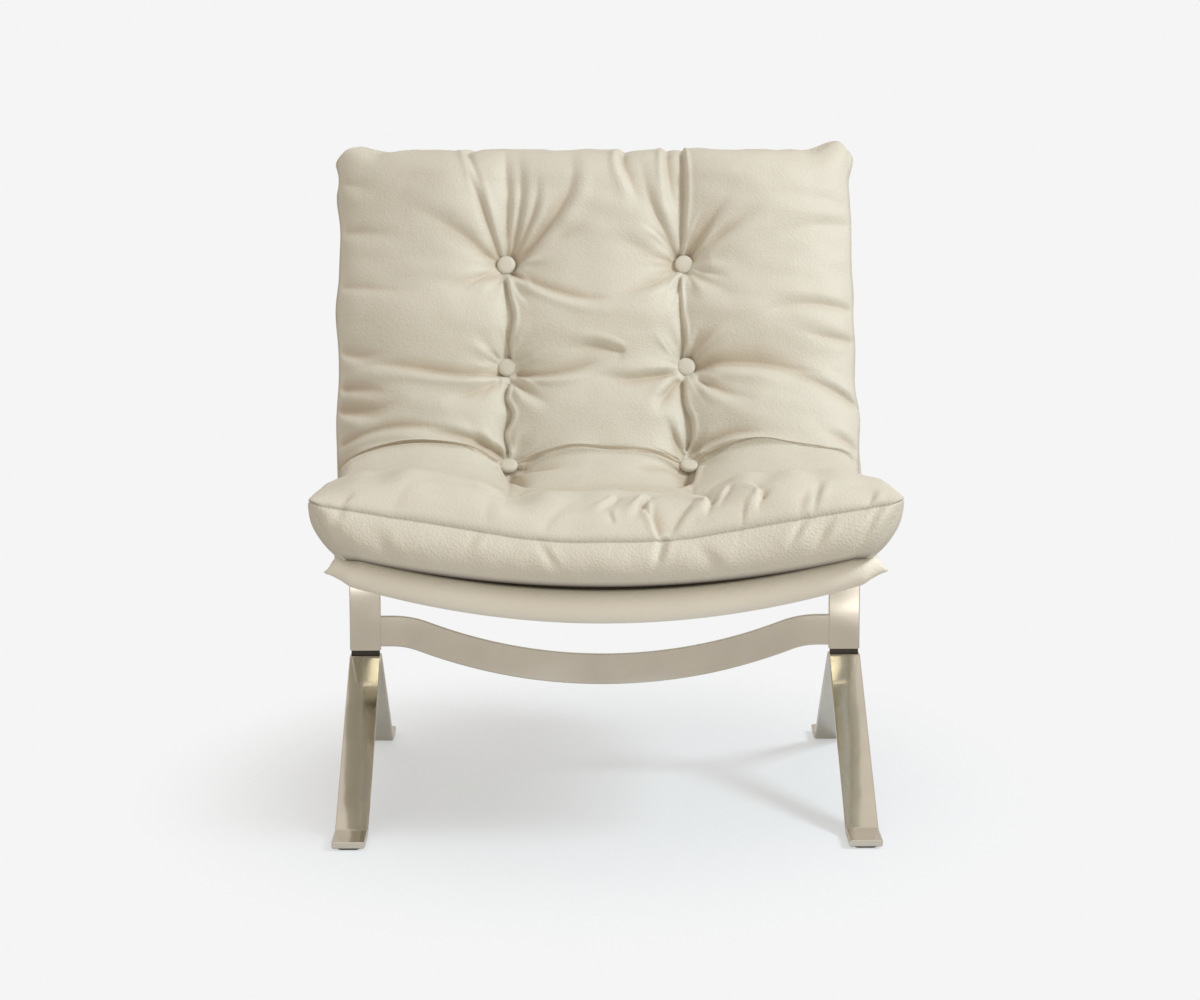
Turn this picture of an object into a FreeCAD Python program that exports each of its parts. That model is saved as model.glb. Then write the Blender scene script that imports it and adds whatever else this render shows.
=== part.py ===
"""Tufted leather lounge chair on a polished flat-bar steel frame.

Each side stands on one bar bent into two splayed legs. A post rises from its peak, on a short
neck, to a side bar that runs under the seat and turns up behind the back. Curved cross pieces
join the sides, a leather sling hangs on them, and one long buttoned pad, in a seat and a back
part that meet in the crease, lies on the sling.

Lengths are in millimetres and angles in degrees. X runs across the chair, Y from its front to
its back, Z up. Everything is drawn from the front toe line, and the last step moves the whole
chair so that its origin is on the floor, under the middle of its bounding box.
"""

import FreeCAD
import Part

import math
import os

from FreeCAD import Vector

# Flat steel bar, and the width of the frame over its posts
BAR_WIDTH = 40.0
BAR_THICK = 8.0
BAR_EDGE = 1.2
FRAME_WIDTH = 660.0

# Leg bars: two toes on the floor, two legs and a flat peak between them
TOE_LENGTH = 62.0
TOE_CORNER = 3.0
LEG_BEND_RADIUS = 13.0
FRONT_LEG_ANGLE = 29.8
REAR_LEG_ANGLE = 35.4
PEAK_HEIGHT = 171.0
PEAK_FLAT = 22.5

# Necks and posts
NECK_HEIGHT = 5.5
NECK_WIDTH = 36.5
NECK_DEPTH = 6.4
POST_TAB = 52.0
POST_BEND_RADIUS = 12.0

# Side bars
SIDE_BAR_WIDTH = 34.0
SIDE_BAR_START = 20.0
SIDE_BAR_FRONT_HEIGHT = 342.0
SEAT_ANGLE = 4.0
BACK_ANGLE = 19.0
CREASE_CORNER = 545.0
CREASE_BEND_RADIUS = 90.0
SIDE_BAR_TOP = 775.0

# Curved stretcher between the posts
STRETCHER_HEIGHT = 201.5
STRETCHER_DROOP = 51.0
STRETCHER_END_FLAT = 15.0
STRETCHER_END_RADIUS = 112.0
STRETCHER_SETBACK = 1.0

# Round rods that carry the sling
ROD_RADIUS = 7.0
ROD_SIDES = 12
FRONT_ROD_INSET = 8.0
FRONT_ROD_DROOP = 42.5
TOP_ROD_INSET = 14.0

# Screws
SCREW_RADIUS = 2.5
SCREW_HEAD_RADIUS = 4.6
SCREW_HEAD_TIP_RADIUS = 3.4
SCREW_HEAD_HEIGHT = 2.8
SCREW_SOCKET_RADIUS = 1.9
SCREW_SOCKET_DEPTH = 1.6
SCREW_PITCH = 20.0
SCREW_SIDES = 12
SOCKET_SIDES = 6
NECK_SCREW_BITE = 14.0
POST_SCREW_BITE = 6.5

# Feet
FOOT_PAD_THICK = 3.0
FOOT_PAD_WIDTH = 25.0
FOOT_PAD_LENGTH = 34.0
FOOT_PAD_INSET = 7.0
FOOT_PAD_CORNER = 3.0
FOOT_SCREW_SUNK = 0.8
FOOT_SCREW_HEAD_RADIUS = 4.5
FOOT_SCREW_HEAD_DEPTH = 2.0
FOOT_SCREW_BITE = 6.0

# Sling
SLING_THICK = 5.0
SLING_INSET = 2.0
SLING_FRONT_SAG = 31.0
SLING_SEAT_SAG = 26.0
SLING_BACK_SAG = 19.0
SLING_ROD_SAG = 0.5
SAG_STEPS = 10
ROLL_BELOW_ROD = 24.0
ROLL_END_BELOW = 11.0
ROLL_TIP_HEIGHT = 12.0
ROLL_TIP_LENGTH = 18.0
ROLL_BEHIND_ROD = 20.0
ROLL_DEPTH = 54.0
ROLL_END_DEPTH = 42.0
ROLL_TIP_DEPTH = 22.0
ROLL_ROUND_SHARE = 0.46
ROLL_STATIONS = 6
ROLL_CORNER_STEPS = 3
SEAT_STEPS = 4
BEND_STEPS = 3
BACK_STEPS = 5
HEM_WALL = 4.0
HEM_DROP = 62.0

# Pad
PAD_FRONT = 50.0
PAD_OVERHANG = 21.0
PAD_REST_INSET = 12.0
PAD_HEIGHT = 118.0
PAD_SIDE_BULGE = 7.0
PAD_TOP_RISE = 18.0
PAD_TRIM = 8.0
CREASE_HEIGHT = 83.0
LOBE_STEPS = 8
WALL_STEPS = 4

# Buttons, their ties and the washers under the pad
BUTTON_COLUMN = 120.0
BACK_ROW_PITCH = 142.0
SEAT_ROW_PITCH = 150.0
CREASE_LOST = 56.0
BUTTON_RADIUS = 12.5
BUTTON_RIM = 3.0
BUTTON_DOME = 4.5
WASHER_RADIUS = 11.0
WASHER_THICK = 3.0
TIE_RADIUS = 1.5
BUTTON_SIDES = 16
WASHER_SIDES = 8
TIE_SIDES = 6

# Foam cores inside the pad
CORE_THICK = 24.0
CORE_COVER = 14.0
CORE_SIDE_GAP = 28.0
CORE_START = 66.0
CORE_END_GAP = 46.0

# Clearances
SEAT_GAP = 0.3
SCREW_FIT = 0.1
OVERRUN = 4.0

HALF_FRAME = FRAME_WIDTH / 2
HALF_INNER = HALF_FRAME - BAR_WIDTH
POST_MIDDLE = HALF_FRAME - BAR_WIDTH / 2
HALF_BAR = BAR_THICK / 2
TOE_HEIGHT = FOOT_PAD_THICK + HALF_BAR
SLING_TOP = SEAT_GAP + SLING_THICK
PAD_BOTTOM = SLING_TOP + SEAT_GAP
ROLL_REAR = FRONT_ROD_INSET + ROLL_BEHIND_ROD
SLING_HALF = HALF_FRAME - SLING_INSET
PAD_HALF = HALF_FRAME + PAD_OVERHANG
PAD_REST_HALF = HALF_FRAME - PAD_REST_INSET
CORE_HALF = HALF_INNER - CORE_SIDE_GAP


def rise(slope):
    """Height gained per unit of run on a line of that slope."""
    return math.tan(math.radians(slope))


def turned(slope):
    """Unit vector of the side view, as (y, z), at that angle above +Y."""
    return math.cos(math.radians(slope)), math.sin(math.radians(slope))


# Side view of the leg bar, as (y, z) on its centreline

PEAK = PEAK_HEIGHT - HALF_BAR
KNEE = TOE_LENGTH
PEAK_FRONT = KNEE + (PEAK - TOE_HEIGHT) / rise(FRONT_LEG_ANGLE)
PEAK_REAR = PEAK_FRONT + PEAK_FLAT
REAR_KNEE = PEAK_REAR + (PEAK - TOE_HEIGHT) / rise(REAR_LEG_ANGLE)
REAR_TOE = REAR_KNEE + TOE_LENGTH
POST_PLACE = (PEAK_FRONT + PEAK_REAR) / 2
POST_FOOT = PEAK_HEIGHT + NECK_HEIGHT

# Side view of the side bar: a seat run, a bend at the crease and a back run

SEAT_RUN_ANGLE = -SEAT_ANGLE
BACK_RUN_ANGLE = 90 - BACK_ANGLE
CREASE_TURN = math.radians(BACK_RUN_ANGLE - SEAT_RUN_ANGLE)
BEND_REACH = CREASE_BEND_RADIUS * math.tan(CREASE_TURN / 2)
SEAT_RUN = (CREASE_CORNER - SIDE_BAR_START) / math.cos(math.radians(SEAT_ANGLE)) - BEND_REACH
BEND_RUN = CREASE_BEND_RADIUS * CREASE_TURN
CREASE = SEAT_RUN + BEND_RUN / 2
BACK_START = SEAT_RUN + BEND_RUN


def corner_height():
    return SIDE_BAR_FRONT_HEIGHT - (CREASE_CORNER - SIDE_BAR_START) * rise(SEAT_ANGLE)


def side_bar_length():
    climb = (SIDE_BAR_TOP - corner_height()) / math.cos(math.radians(BACK_ANGLE))
    return BACK_START - BEND_REACH + climb


def path(along):
    """Centreline point and angle of the side bar, that far from its front end."""
    if along <= SEAT_RUN:
        run = turned(SEAT_RUN_ANGLE)
        return SIDE_BAR_START + run[0] * along, SIDE_BAR_FRONT_HEIGHT + run[1] * along, SEAT_RUN_ANGLE
    bend_y, bend_z, _ = path(SEAT_RUN)
    up = turned(SEAT_RUN_ANGLE + 90)
    centre = (bend_y + up[0] * CREASE_BEND_RADIUS, bend_z + up[1] * CREASE_BEND_RADIUS)
    turn = min(along - SEAT_RUN, BEND_RUN) / CREASE_BEND_RADIUS
    angle = SEAT_RUN_ANGLE + math.degrees(turn)
    out = turned(angle - 90)
    y, z = centre[0] + out[0] * CREASE_BEND_RADIUS, centre[1] + out[1] * CREASE_BEND_RADIUS
    rest = max(along - BACK_START, 0)
    run = turned(angle)
    return y + run[0] * rest, z + run[1] * rest, angle


def spot(along, x, lift):
    """Point across the chair at x, lift above the side bar's face, that far along it."""
    y, z, angle = path(along)
    up = turned(angle + 90)
    reach = HALF_BAR + lift
    return Vector(x, y + up[0] * reach, z + up[1] * reach)


# Tools for bars, sections and pairs

def mirrored(shape):
    return shape.mirror(Vector(0, 0, 0), Vector(1, 0, 0))


def closed_face(edges):
    return Part.Face(Part.Wire(Part.__sortEdges__(edges)))


def line(start, end):
    return Part.LineSegment(start, end).toShape()


def arc(start, through, end):
    return Part.Arc(start, through, end).toShape()


def facets(start, through, end, steps):
    """Chain of straight runs along the bow through three points, for the soft pieces."""
    points = []
    for i in range(steps + 1):
        t = i / steps
        points.append(start * (1 - t) * (1 - 2 * t) + through * 4 * t * (1 - t) + end * t * (2 * t - 1))
    return [line(a, b) for a, b in zip(points, points[1:])]


def strip_face(corners, bends, half_thick):
    """Side-view face of a bar: a band of even thickness along corners rounded by bends."""
    points = [Vector(0, y, z) for y, z in corners]
    runs = [(b - a).normalize() for a, b in zip(points, points[1:])]
    sides = [Vector(0, -r.z, r.y) for r in runs]
    left, right = [], []
    here = points[0]
    for i, run in enumerate(runs):
        last = i == len(runs) - 1
        there = points[i + 1]
        if not last:
            turn = run.getAngle(runs[i + 1])
            there = there - run * (bends[i] * math.tan(turn / 2))
        for rail, offset in ((left, half_thick), (right, -half_thick)):
            rail.append(line(here + sides[i] * offset, there + sides[i] * offset))
        if last:
            end = there
            continue
        inward = (runs[i + 1] - run).normalize()
        middle = points[i + 1] + inward * (bends[i] / math.cos(turn / 2) - bends[i])
        slant = (sides[i] + sides[i + 1]).normalize()
        after = points[i + 1] + runs[i + 1] * (bends[i] * math.tan(turn / 2))
        for rail, offset in ((left, half_thick), (right, -half_thick)):
            rail.append(
                arc(
                    there + sides[i] * offset,
                    middle + slant * offset,
                    after + sides[i + 1] * offset,
                )
            )
        here = after
    caps = [
        line(points[0] + sides[0] * half_thick, points[0] - sides[0] * half_thick),
        line(end + sides[-1] * half_thick, end - sides[-1] * half_thick),
    ]
    return closed_face(left + right + caps)


def ease_sides(bar):
    """Breaks the edges that run round the two side faces of a bar."""
    box = bar.BoundBox
    near = BAR_EDGE / 10
    chosen = [
        e
        for e in bar.Edges
        if e.BoundBox.XLength < near
        and min(abs(e.BoundBox.XMin - box.XMin), abs(e.BoundBox.XMax - box.XMax)) < near
    ]
    return bar.makeChamfer(BAR_EDGE, chosen)


def bent_bar(corners, bends, inner, width):
    """Flat bar on the right-hand side, from its inner side face outwards."""
    bar = strip_face(corners, bends, HALF_BAR).extrude(Vector(width, 0, 0))
    bar.translate(Vector(inner, 0, 0))
    return bar


def flat_face(corners):
    return Part.Face(Part.makePolygon(corners + corners[:1]))


def closed_solid(faces):
    solid = Part.Solid(Part.Shell(faces))
    if solid.Volume < 0:
        solid.reverse()
    return solid


def loft(sections):
    """Body of flat triangles through level sections that all have as many corners."""
    rings = [[edge.Vertexes[0].Point for edge in edges] for edges in sections]
    faces = [flat_face(rings[0]), flat_face(rings[-1])]
    for near, far in zip(rings, rings[1:]):
        for i in range(len(near)):
            j = (i + 1) % len(near)
            quad = [near[i], near[j], far[j], far[i]]
            if near[i].x + near[j].x < 0:
                quad = quad[1:] + quad[:1]
            faces += [flat_face(quad[:3]), flat_face(quad[2:] + quad[:1])]
    return closed_solid(faces)


def ring(sides, radius, height):
    """Level polygon with that many sides around a circle of that radius."""
    step = 2 * math.pi / sides
    reach = radius / math.cos(step / 2)
    turns = [step * i for i in range(sides)]
    corners = [Vector(math.cos(turn) * reach, math.sin(turn) * reach, height) for turn in turns]
    return Part.makePolygon(corners + corners[:1])


def prism(sides, radius, height, start=0.0):
    return Part.Face(ring(sides, radius, start)).extrude(Vector(0, 0, height))


def taper(sides, low_radius, high_radius, height, start=0.0):
    """Many-sided cone that changes from one radius to the other over its height."""
    low, high = ring(sides, low_radius, start), ring(sides, high_radius, start + height)
    a, b = [v.Point for v in low.OrderedVertexes], [v.Point for v in high.OrderedVertexes]
    faces = [Part.Face(low), Part.Face(high)]
    for i in range(sides):
        j = (i + 1) % sides
        faces.append(flat_face([a[i], a[j], b[j], b[i]]))
    return closed_solid(faces)


def group(solids):
    return Part.makeCompound(solids)


# Frame

def leg_bar():
    """Right-hand bar: front toe, front leg, flat peak, rear leg and rear toe."""
    corners = [
        (0, TOE_HEIGHT),
        (KNEE, TOE_HEIGHT),
        (PEAK_FRONT, PEAK),
        (PEAK_REAR, PEAK),
        (REAR_KNEE, TOE_HEIGHT),
        (REAR_TOE, TOE_HEIGHT),
    ]
    bar = bent_bar(corners, [LEG_BEND_RADIUS] * 4, HALF_INNER, BAR_WIDTH)
    ends = [
        e
        for e in bar.Edges
        if e.BoundBox.ZLength > BAR_THICK / 2
        and e.BoundBox.YLength < BAR_EDGE / 10
        and e.BoundBox.ZMax < 2 * BAR_THICK + FOOT_PAD_THICK
    ]
    bar = bar.makeFillet(TOE_CORNER, ends)
    return ease_sides(bar)


def neck():
    """Short block that lifts the post off the leg bar, set in from its edges."""
    corner = Vector(POST_MIDDLE - NECK_WIDTH / 2, POST_PLACE - NECK_DEPTH / 2, PEAK_HEIGHT)
    return Part.makeBox(NECK_WIDTH, NECK_DEPTH, NECK_HEIGHT, corner)


def post_top():
    """Height of the post's tab centreline where it leaves the post."""
    under = SIDE_BAR_FRONT_HEIGHT - (POST_PLACE - SIDE_BAR_START) * rise(SEAT_ANGLE)
    return under - BAR_THICK / math.cos(math.radians(SEAT_ANGLE))


def post():
    """Upright from the neck, bent back at its top into the tab under the side bar."""
    reach = turned(SEAT_RUN_ANGLE)
    corners = [
        (POST_PLACE, POST_FOOT),
        (POST_PLACE, post_top()),
        (POST_PLACE + reach[0] * POST_TAB, post_top() + reach[1] * POST_TAB),
    ]
    return ease_sides(bent_bar(corners, [POST_BEND_RADIUS], HALF_INNER, BAR_WIDTH))


def side_bar():
    """Seat run, crease bend and back run in one bar, with its front corners rounded."""
    top = path(side_bar_length())
    corners = [
        (SIDE_BAR_START, SIDE_BAR_FRONT_HEIGHT),
        (CREASE_CORNER, corner_height()),
        (top[0], top[1]),
    ]
    bar = bent_bar(corners, [CREASE_BEND_RADIUS], HALF_INNER, SIDE_BAR_WIDTH)
    near = BAR_EDGE / 10
    ends = [e for e in bar.Edges if abs(e.Length - BAR_THICK) < near and e.BoundBox.XLength < near]
    bar = bar.makeFillet(SIDE_BAR_WIDTH / 3, ends)
    return ease_sides(bar)


def stretcher():
    """Curved bar between the posts: level at its ends, with one long droop between them."""
    tangent = HALF_INNER - STRETCHER_END_FLAT
    both = (tangent ** 2 + STRETCHER_DROOP ** 2) / (2 * STRETCHER_DROOP)
    main = both - STRETCHER_END_RADIUS
    angle = math.asin(tangent / both)

    def flip(p):
        return Vector(-p.x, p.y, p.z)

    def chain(offset):
        reach, end_reach = main - offset, STRETCHER_END_RADIUS + offset
        low = Vector(0, 0, offset - STRETCHER_DROOP)
        join = Vector(math.sin(angle) * reach, 0, main - STRETCHER_DROOP - math.cos(angle) * reach)
        mid_end = Vector(
            tangent - math.sin(angle / 2) * end_reach,
            0,
            math.cos(angle / 2) * end_reach - STRETCHER_END_RADIUS,
        )
        flat = Vector(tangent, 0, offset)
        end = Vector(HALF_INNER, 0, offset)
        edges = [arc(flip(join), low, join)]
        edges += [arc(join, mid_end, flat), arc(flip(join), flip(mid_end), flip(flat))]
        edges += [line(flat, end), line(flip(flat), flip(end))]
        return edges, end

    upper, top_end = chain(BAR_WIDTH / 2)
    lower, low_end = chain(-BAR_WIDTH / 2)
    caps = [line(top_end, low_end), line(flip(top_end), flip(low_end))]
    thick = BAR_THICK - 2 * STRETCHER_SETBACK
    bar = closed_face(upper + lower + caps).extrude(Vector(0, thick, 0))
    long_edges = [
        e for e in bar.Edges if e.BoundBox.YLength < BAR_EDGE / 10 and e.BoundBox.XLength > BAR_EDGE
    ]
    bar = bar.makeChamfer(BAR_EDGE, long_edges)
    bar.translate(Vector(0, POST_PLACE - thick / 2, STRETCHER_HEIGHT))
    return bar


def front_rod(radius=ROD_RADIUS):
    """Drooped rod between the front ends of the side bars, with flats that run round it."""
    bend = (HALF_INNER ** 2 + FRONT_ROD_DROOP ** 2) / (2 * FRONT_ROD_DROOP)
    half_turn = math.degrees(math.asin((HALF_INNER + radius) / bend))
    lowest = spot(FRONT_ROD_INSET, 0, -HALF_BAR - FRONT_ROD_DROOP)
    centre = spot(FRONT_ROD_INSET, 0, -HALF_BAR - FRONT_ROD_DROOP + bend)
    axis = (centre - lowest).cross(Vector(1, 0, 0)).normalize()
    section = ring(ROD_SIDES, radius, 0)
    section.rotate(Vector(0, 0, 0), Vector(0, 1, 0), 90)
    section.translate(lowest)
    section.rotate(centre, axis, -half_turn)
    whole = Part.Face(section).revolve(centre, axis, 2 * half_turn)
    size = 2 * (SIDE_BAR_TOP + CREASE_CORNER)
    between = Vector(-HALF_INNER, -size / 2, -size / 2)
    return whole.common(Part.makeBox(2 * HALF_INNER, size, size, between))


def straight_rod(along):
    """Round rod between the side bars, under the sling."""
    start = spot(along, -HALF_INNER, -BAR_THICK)
    return Part.makeCylinder(ROD_RADIUS, 2 * HALF_INNER, start, Vector(1, 0, 0))


def crease_rod():
    return straight_rod(CREASE)


def top_rod_place():
    return side_bar_length() - TOP_ROD_INSET


def top_rod():
    return straight_rod(top_rod_place())


# Screws

def screw(bite, fit=0.0):
    """Socket screw along +Z with a tapered head, whose underside is at the origin."""
    shank = prism(SCREW_SIDES, SCREW_RADIUS + fit, bite)
    if fit:
        return shank
    tip = -SCREW_HEAD_HEIGHT
    head = taper(SCREW_SIDES, SCREW_HEAD_TIP_RADIUS, SCREW_HEAD_RADIUS, SCREW_HEAD_HEIGHT, tip)
    socket = prism(SOCKET_SIDES, SCREW_SOCKET_RADIUS, SCREW_SOCKET_DEPTH, tip)
    return head.cut(socket).fuse(shank)


def neck_screws(fit=0.0):
    """Two screws a side, up through the peak and the neck into the foot of the post."""
    made = []
    for side in (-1, 1):
        for step in (-1, 1):
            one = screw(BAR_THICK + NECK_HEIGHT + NECK_SCREW_BITE, fit)
            x = side * (POST_MIDDLE + step * SCREW_PITCH / 2)
            one.translate(Vector(x, POST_PLACE, PEAK_HEIGHT - BAR_THICK))
            made.append(one)
    return made


def post_screws(fit=0.0):
    """Two screws a side, up through the post's tab into the side bar."""
    made = []
    y, z, _ = path((POST_PLACE - SIDE_BAR_START + POST_TAB * 2 / 3) / math.cos(math.radians(SEAT_ANGLE)))
    down = turned(SEAT_RUN_ANGLE - 90)
    reach = HALF_BAR + BAR_THICK
    middle = HALF_INNER + SIDE_BAR_WIDTH / 2
    for side in (-1, 1):
        for step in (-1, 1):
            one = screw(BAR_THICK + POST_SCREW_BITE, fit)
            one.rotate(Vector(0, 0, 0), Vector(1, 0, 0), SEAT_RUN_ANGLE)
            x = side * (middle + step * SCREW_PITCH / 3)
            one.translate(Vector(x, y + down[0] * reach, z + down[1] * reach))
            made.append(one)
    return made


# Feet

def foot_places():
    reach = FOOT_PAD_INSET + FOOT_PAD_LENGTH / 2
    return {
        "front_left_foot_pad": (-POST_MIDDLE, reach),
        "front_right_foot_pad": (POST_MIDDLE, reach),
        "rear_left_foot_pad": (-POST_MIDDLE, REAR_TOE - reach),
        "rear_right_foot_pad": (POST_MIDDLE, REAR_TOE - reach),
    }


def foot_screw(fit=0.0):
    """Countersunk screw, its head sunk in the rubber so that it never meets the floor."""
    top = FOOT_SCREW_SUNK + FOOT_SCREW_HEAD_DEPTH
    radii = (FOOT_SCREW_HEAD_RADIUS + fit, SCREW_RADIUS + fit)
    head = taper(SCREW_SIDES, radii[0], radii[1], FOOT_SCREW_HEAD_DEPTH, FOOT_SCREW_SUNK)
    shank = prism(SCREW_SIDES, radii[1], FOOT_PAD_THICK + FOOT_SCREW_BITE - top, top)
    return head.fuse(shank)


def foot_screws(fit=0.0):
    made = []
    for x, y in foot_places().values():
        one = foot_screw(fit)
        one.translate(Vector(x, y, 0))
        made.append(one)
    return made


def foot_pad(x, y):
    corner = Vector(x - FOOT_PAD_WIDTH / 2, y - FOOT_PAD_LENGTH / 2, 0)
    pad = Part.makeBox(FOOT_PAD_WIDTH, FOOT_PAD_LENGTH, FOOT_PAD_THICK, corner)
    pad = pad.makeChamfer(FOOT_PAD_CORNER, [e for e in pad.Edges if e.BoundBox.ZLength > FOOT_PAD_THICK / 2])
    cutter = foot_screw(SCREW_FIT)
    well = prism(SCREW_SIDES, FOOT_SCREW_HEAD_RADIUS + SCREW_FIT, FOOT_SCREW_SUNK)
    cutter = cutter.fuse(well)
    cutter.translate(Vector(x, y, 0))
    return pad.cut(cutter)


# Sling

def sag_at(x, sag, half):
    """Height above its lowest point of a circular sag that reaches sag at half."""
    radius = (half ** 2 + sag ** 2) / (2 * sag)
    return radius - math.sqrt(radius ** 2 - x ** 2)


def sling_sag(along):
    """Depth of the sling between the side bars: it hangs free between the rods."""
    if along < CREASE:
        share = max(along, 0) / CREASE
        middle = 4 * share * (1 - share)
        straight = SLING_FRONT_SAG + (SLING_ROD_SAG - SLING_FRONT_SAG) * share
        return straight + middle * (SLING_SEAT_SAG - (SLING_FRONT_SAG + SLING_ROD_SAG) / 2)
    share = min((along - CREASE) / (top_rod_place() - CREASE), 1)
    return SLING_ROD_SAG + (SLING_BACK_SAG - SLING_ROD_SAG) * 4 * share * (1 - share)


def sling_section(along, low, high):
    """Cross-section of the sling: flat over the side bars and sagging between them."""
    sag = sling_sag(along)
    out_low, out_high = spot(along, SLING_HALF, low), spot(along, SLING_HALF, high)
    in_low, in_high = spot(along, HALF_INNER, low), spot(along, HALF_INNER, high)

    def flip(p):
        return Vector(-p.x, p.y, p.z)

    under = facets(flip(in_low), spot(along, 0, low - sag), in_low, SAG_STEPS)
    over = facets(in_high, spot(along, 0, high - sag), flip(in_high), SAG_STEPS)
    right = [line(in_low, out_low), line(out_low, out_high), line(out_high, in_high)]
    left = [line(flip(in_high), flip(out_high)), line(flip(out_high), flip(out_low))]
    left.append(line(flip(out_low), flip(in_low)))
    return under + right + over + left


def spread(start, end, steps):
    return [start + (end - start) * i / steps for i in range(steps + 1)]


def sling_run(places, low, high):
    return loft([sling_section(along, low, high) for along in places])


def seat_places(end):
    """Stations of the sling from behind the front roll to that end in the crease."""
    return spread(ROLL_REAR + SEAT_GAP, SEAT_RUN, SEAT_STEPS) + spread(SEAT_RUN, end, BEND_STEPS)[1:]


def back_places(start):
    """Stations of the sling from that start in the crease to the top of the side bars."""
    bend = spread(start, BACK_START, BEND_STEPS)
    return bend + spread(BACK_START, top_rod_place(), BACK_STEPS)[1:] + [side_bar_length()]


def sling_seat_panel():
    return sling_run(seat_places(CREASE - SEAT_GAP / 2), SEAT_GAP, SLING_TOP)


def sling_back_panel():
    return sling_run(back_places(CREASE + SEAT_GAP / 2), SEAT_GAP, SLING_TOP)


def sling_rooms():
    """Room that the sling keeps under the seat pad and under the back pad."""
    ahead = spread(seat_start() - OVERRUN, ROLL_REAR + SEAT_GAP, 2)
    seat = ahead[:-1] + seat_places(CREASE - SEAT_GAP / 2) + [CREASE]
    back = [CREASE] + back_places(CREASE + SEAT_GAP / 2) + [pad_top() + OVERRUN]
    return {"seat": sling_run(seat, -PAD_TRIM, PAD_BOTTOM), "back": sling_run(back, -PAD_TRIM, PAD_BOTTOM)}


def roll_section(x):
    """Front roll's cross-section there: its top is the sling's, its bottom follows the rod."""
    middle, level, _ = path(FRONT_ROD_INSET)
    body = SLING_HALF - ROLL_TIP_LENGTH
    if abs(x) <= body:
        flat = min(abs(x), HALF_INNER)
        top = level + HALF_BAR + SLING_TOP - SLING_FRONT_SAG + sag_at(flat, SLING_FRONT_SAG, HALF_INNER)
        droop = FRONT_ROD_DROOP + ROLL_BELOW_ROD - ROLL_END_BELOW
        bottom = level - ROLL_END_BELOW - droop + sag_at(x, droop, body)
        depth = ROLL_DEPTH + (ROLL_END_DEPTH - ROLL_DEPTH) * (x / body) ** 2
        middle += ROLL_BEHIND_ROD - depth / 2
    else:
        top, bottom = level + ROLL_TIP_HEIGHT / 2, level - ROLL_TIP_HEIGHT / 2
        depth = ROLL_TIP_DEPTH
    half_deep, half_high, level = depth / 2, (top - bottom) / 2, (top + bottom) / 2
    corner = ROLL_ROUND_SHARE * min(depth, top - bottom)
    inset = corner * (1 - math.sqrt(0.5))

    def at(y_sign, y_inset, z_sign, z_inset):
        y = middle + y_sign * (half_deep - y_inset)
        return Vector(x, y, level + z_sign * (half_high - z_inset))

    edges = []
    signs = ((1, 1), (-1, 1), (-1, -1), (1, -1))
    for (y_sign, z_sign), (next_y, next_z) in zip(signs, signs[1:] + signs[:1]):
        on_side = at(y_sign, 0, z_sign, corner)
        on_top = at(y_sign, corner, z_sign, 0)
        between = at(y_sign, inset, z_sign, inset)
        if y_sign == z_sign:
            edges += facets(on_side, between, on_top, ROLL_CORNER_STEPS)
            edges.append(line(on_top, at(next_y, corner, next_z, 0)))
        else:
            edges += facets(on_top, between, on_side, ROLL_CORNER_STEPS)
            edges.append(line(on_side, at(next_y, 0, next_z, corner)))
    return edges


def sling_front_roll(front_bars):
    body = SLING_HALF - ROLL_TIP_LENGTH
    half = [body * i / ROLL_STATIONS for i in range(1, ROLL_STATIONS + 1)] + [SLING_HALF]
    stations = [-x for x in reversed(half)] + [0] + half
    roll = loft([roll_section(x) for x in stations])
    above = sling_run(spread(seat_start() - OVERRUN, ROLL_REAR + SEAT_GAP, 2), SLING_TOP, PAD_HEIGHT)
    return roll.cut(above).cut(front_rod(ROD_RADIUS + SEAT_GAP)).cut(front_bars)


def grown_bar_end():
    """Room for the right-hand side bar's front end inside the roll."""
    reach = 2 * ROLL_BEHIND_ROD
    drop = reach * rise(SEAT_ANGLE)
    low = SIDE_BAR_FRONT_HEIGHT - HALF_BAR - SEAT_GAP - drop
    corner = Vector(HALF_INNER - SEAT_GAP, SIDE_BAR_START - SEAT_GAP, low)
    wide = SIDE_BAR_WIDTH + 2 * SEAT_GAP
    return Part.makeBox(wide, reach, BAR_THICK + 2 * SEAT_GAP + drop, corner)


def plate_across(near, far, low, high, along):
    """Plate across the chair between two lifts, standing from low to high along the bar."""
    outline = ((-SLING_HALF, near), (SLING_HALF, near), (SLING_HALF, far), (-SLING_HALF, far))
    corners = [spot(along + low, x, lift) for x, lift in outline]
    run = turned(path(along)[2])
    length = high - low
    return flat_face(corners).extrude(Vector(0, run[0] * length, run[1] * length))


def sling_top_hem():
    """Fold over the tops of the side bars and the rod, and down behind them."""
    top = side_bar_length()
    back = -BAR_THICK - ROD_RADIUS - SEAT_GAP
    cap = plate_across(SLING_TOP - SLING_ROD_SAG, back - HEM_WALL, SEAT_GAP, SEAT_GAP + HEM_WALL, top)
    flap = plate_across(back, back - HEM_WALL, SEAT_GAP + HEM_WALL - HEM_DROP, SEAT_GAP, top)
    return cap.fuse(flap).removeSplitter()


# Pad. A station lists shares: its place in the stretch, the half width, then of the pad's
# height the seam, the outer crown, the channel and the middle crown. A stretch runs from one
# row of buttons, or one end of the pad, to the next.

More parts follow.
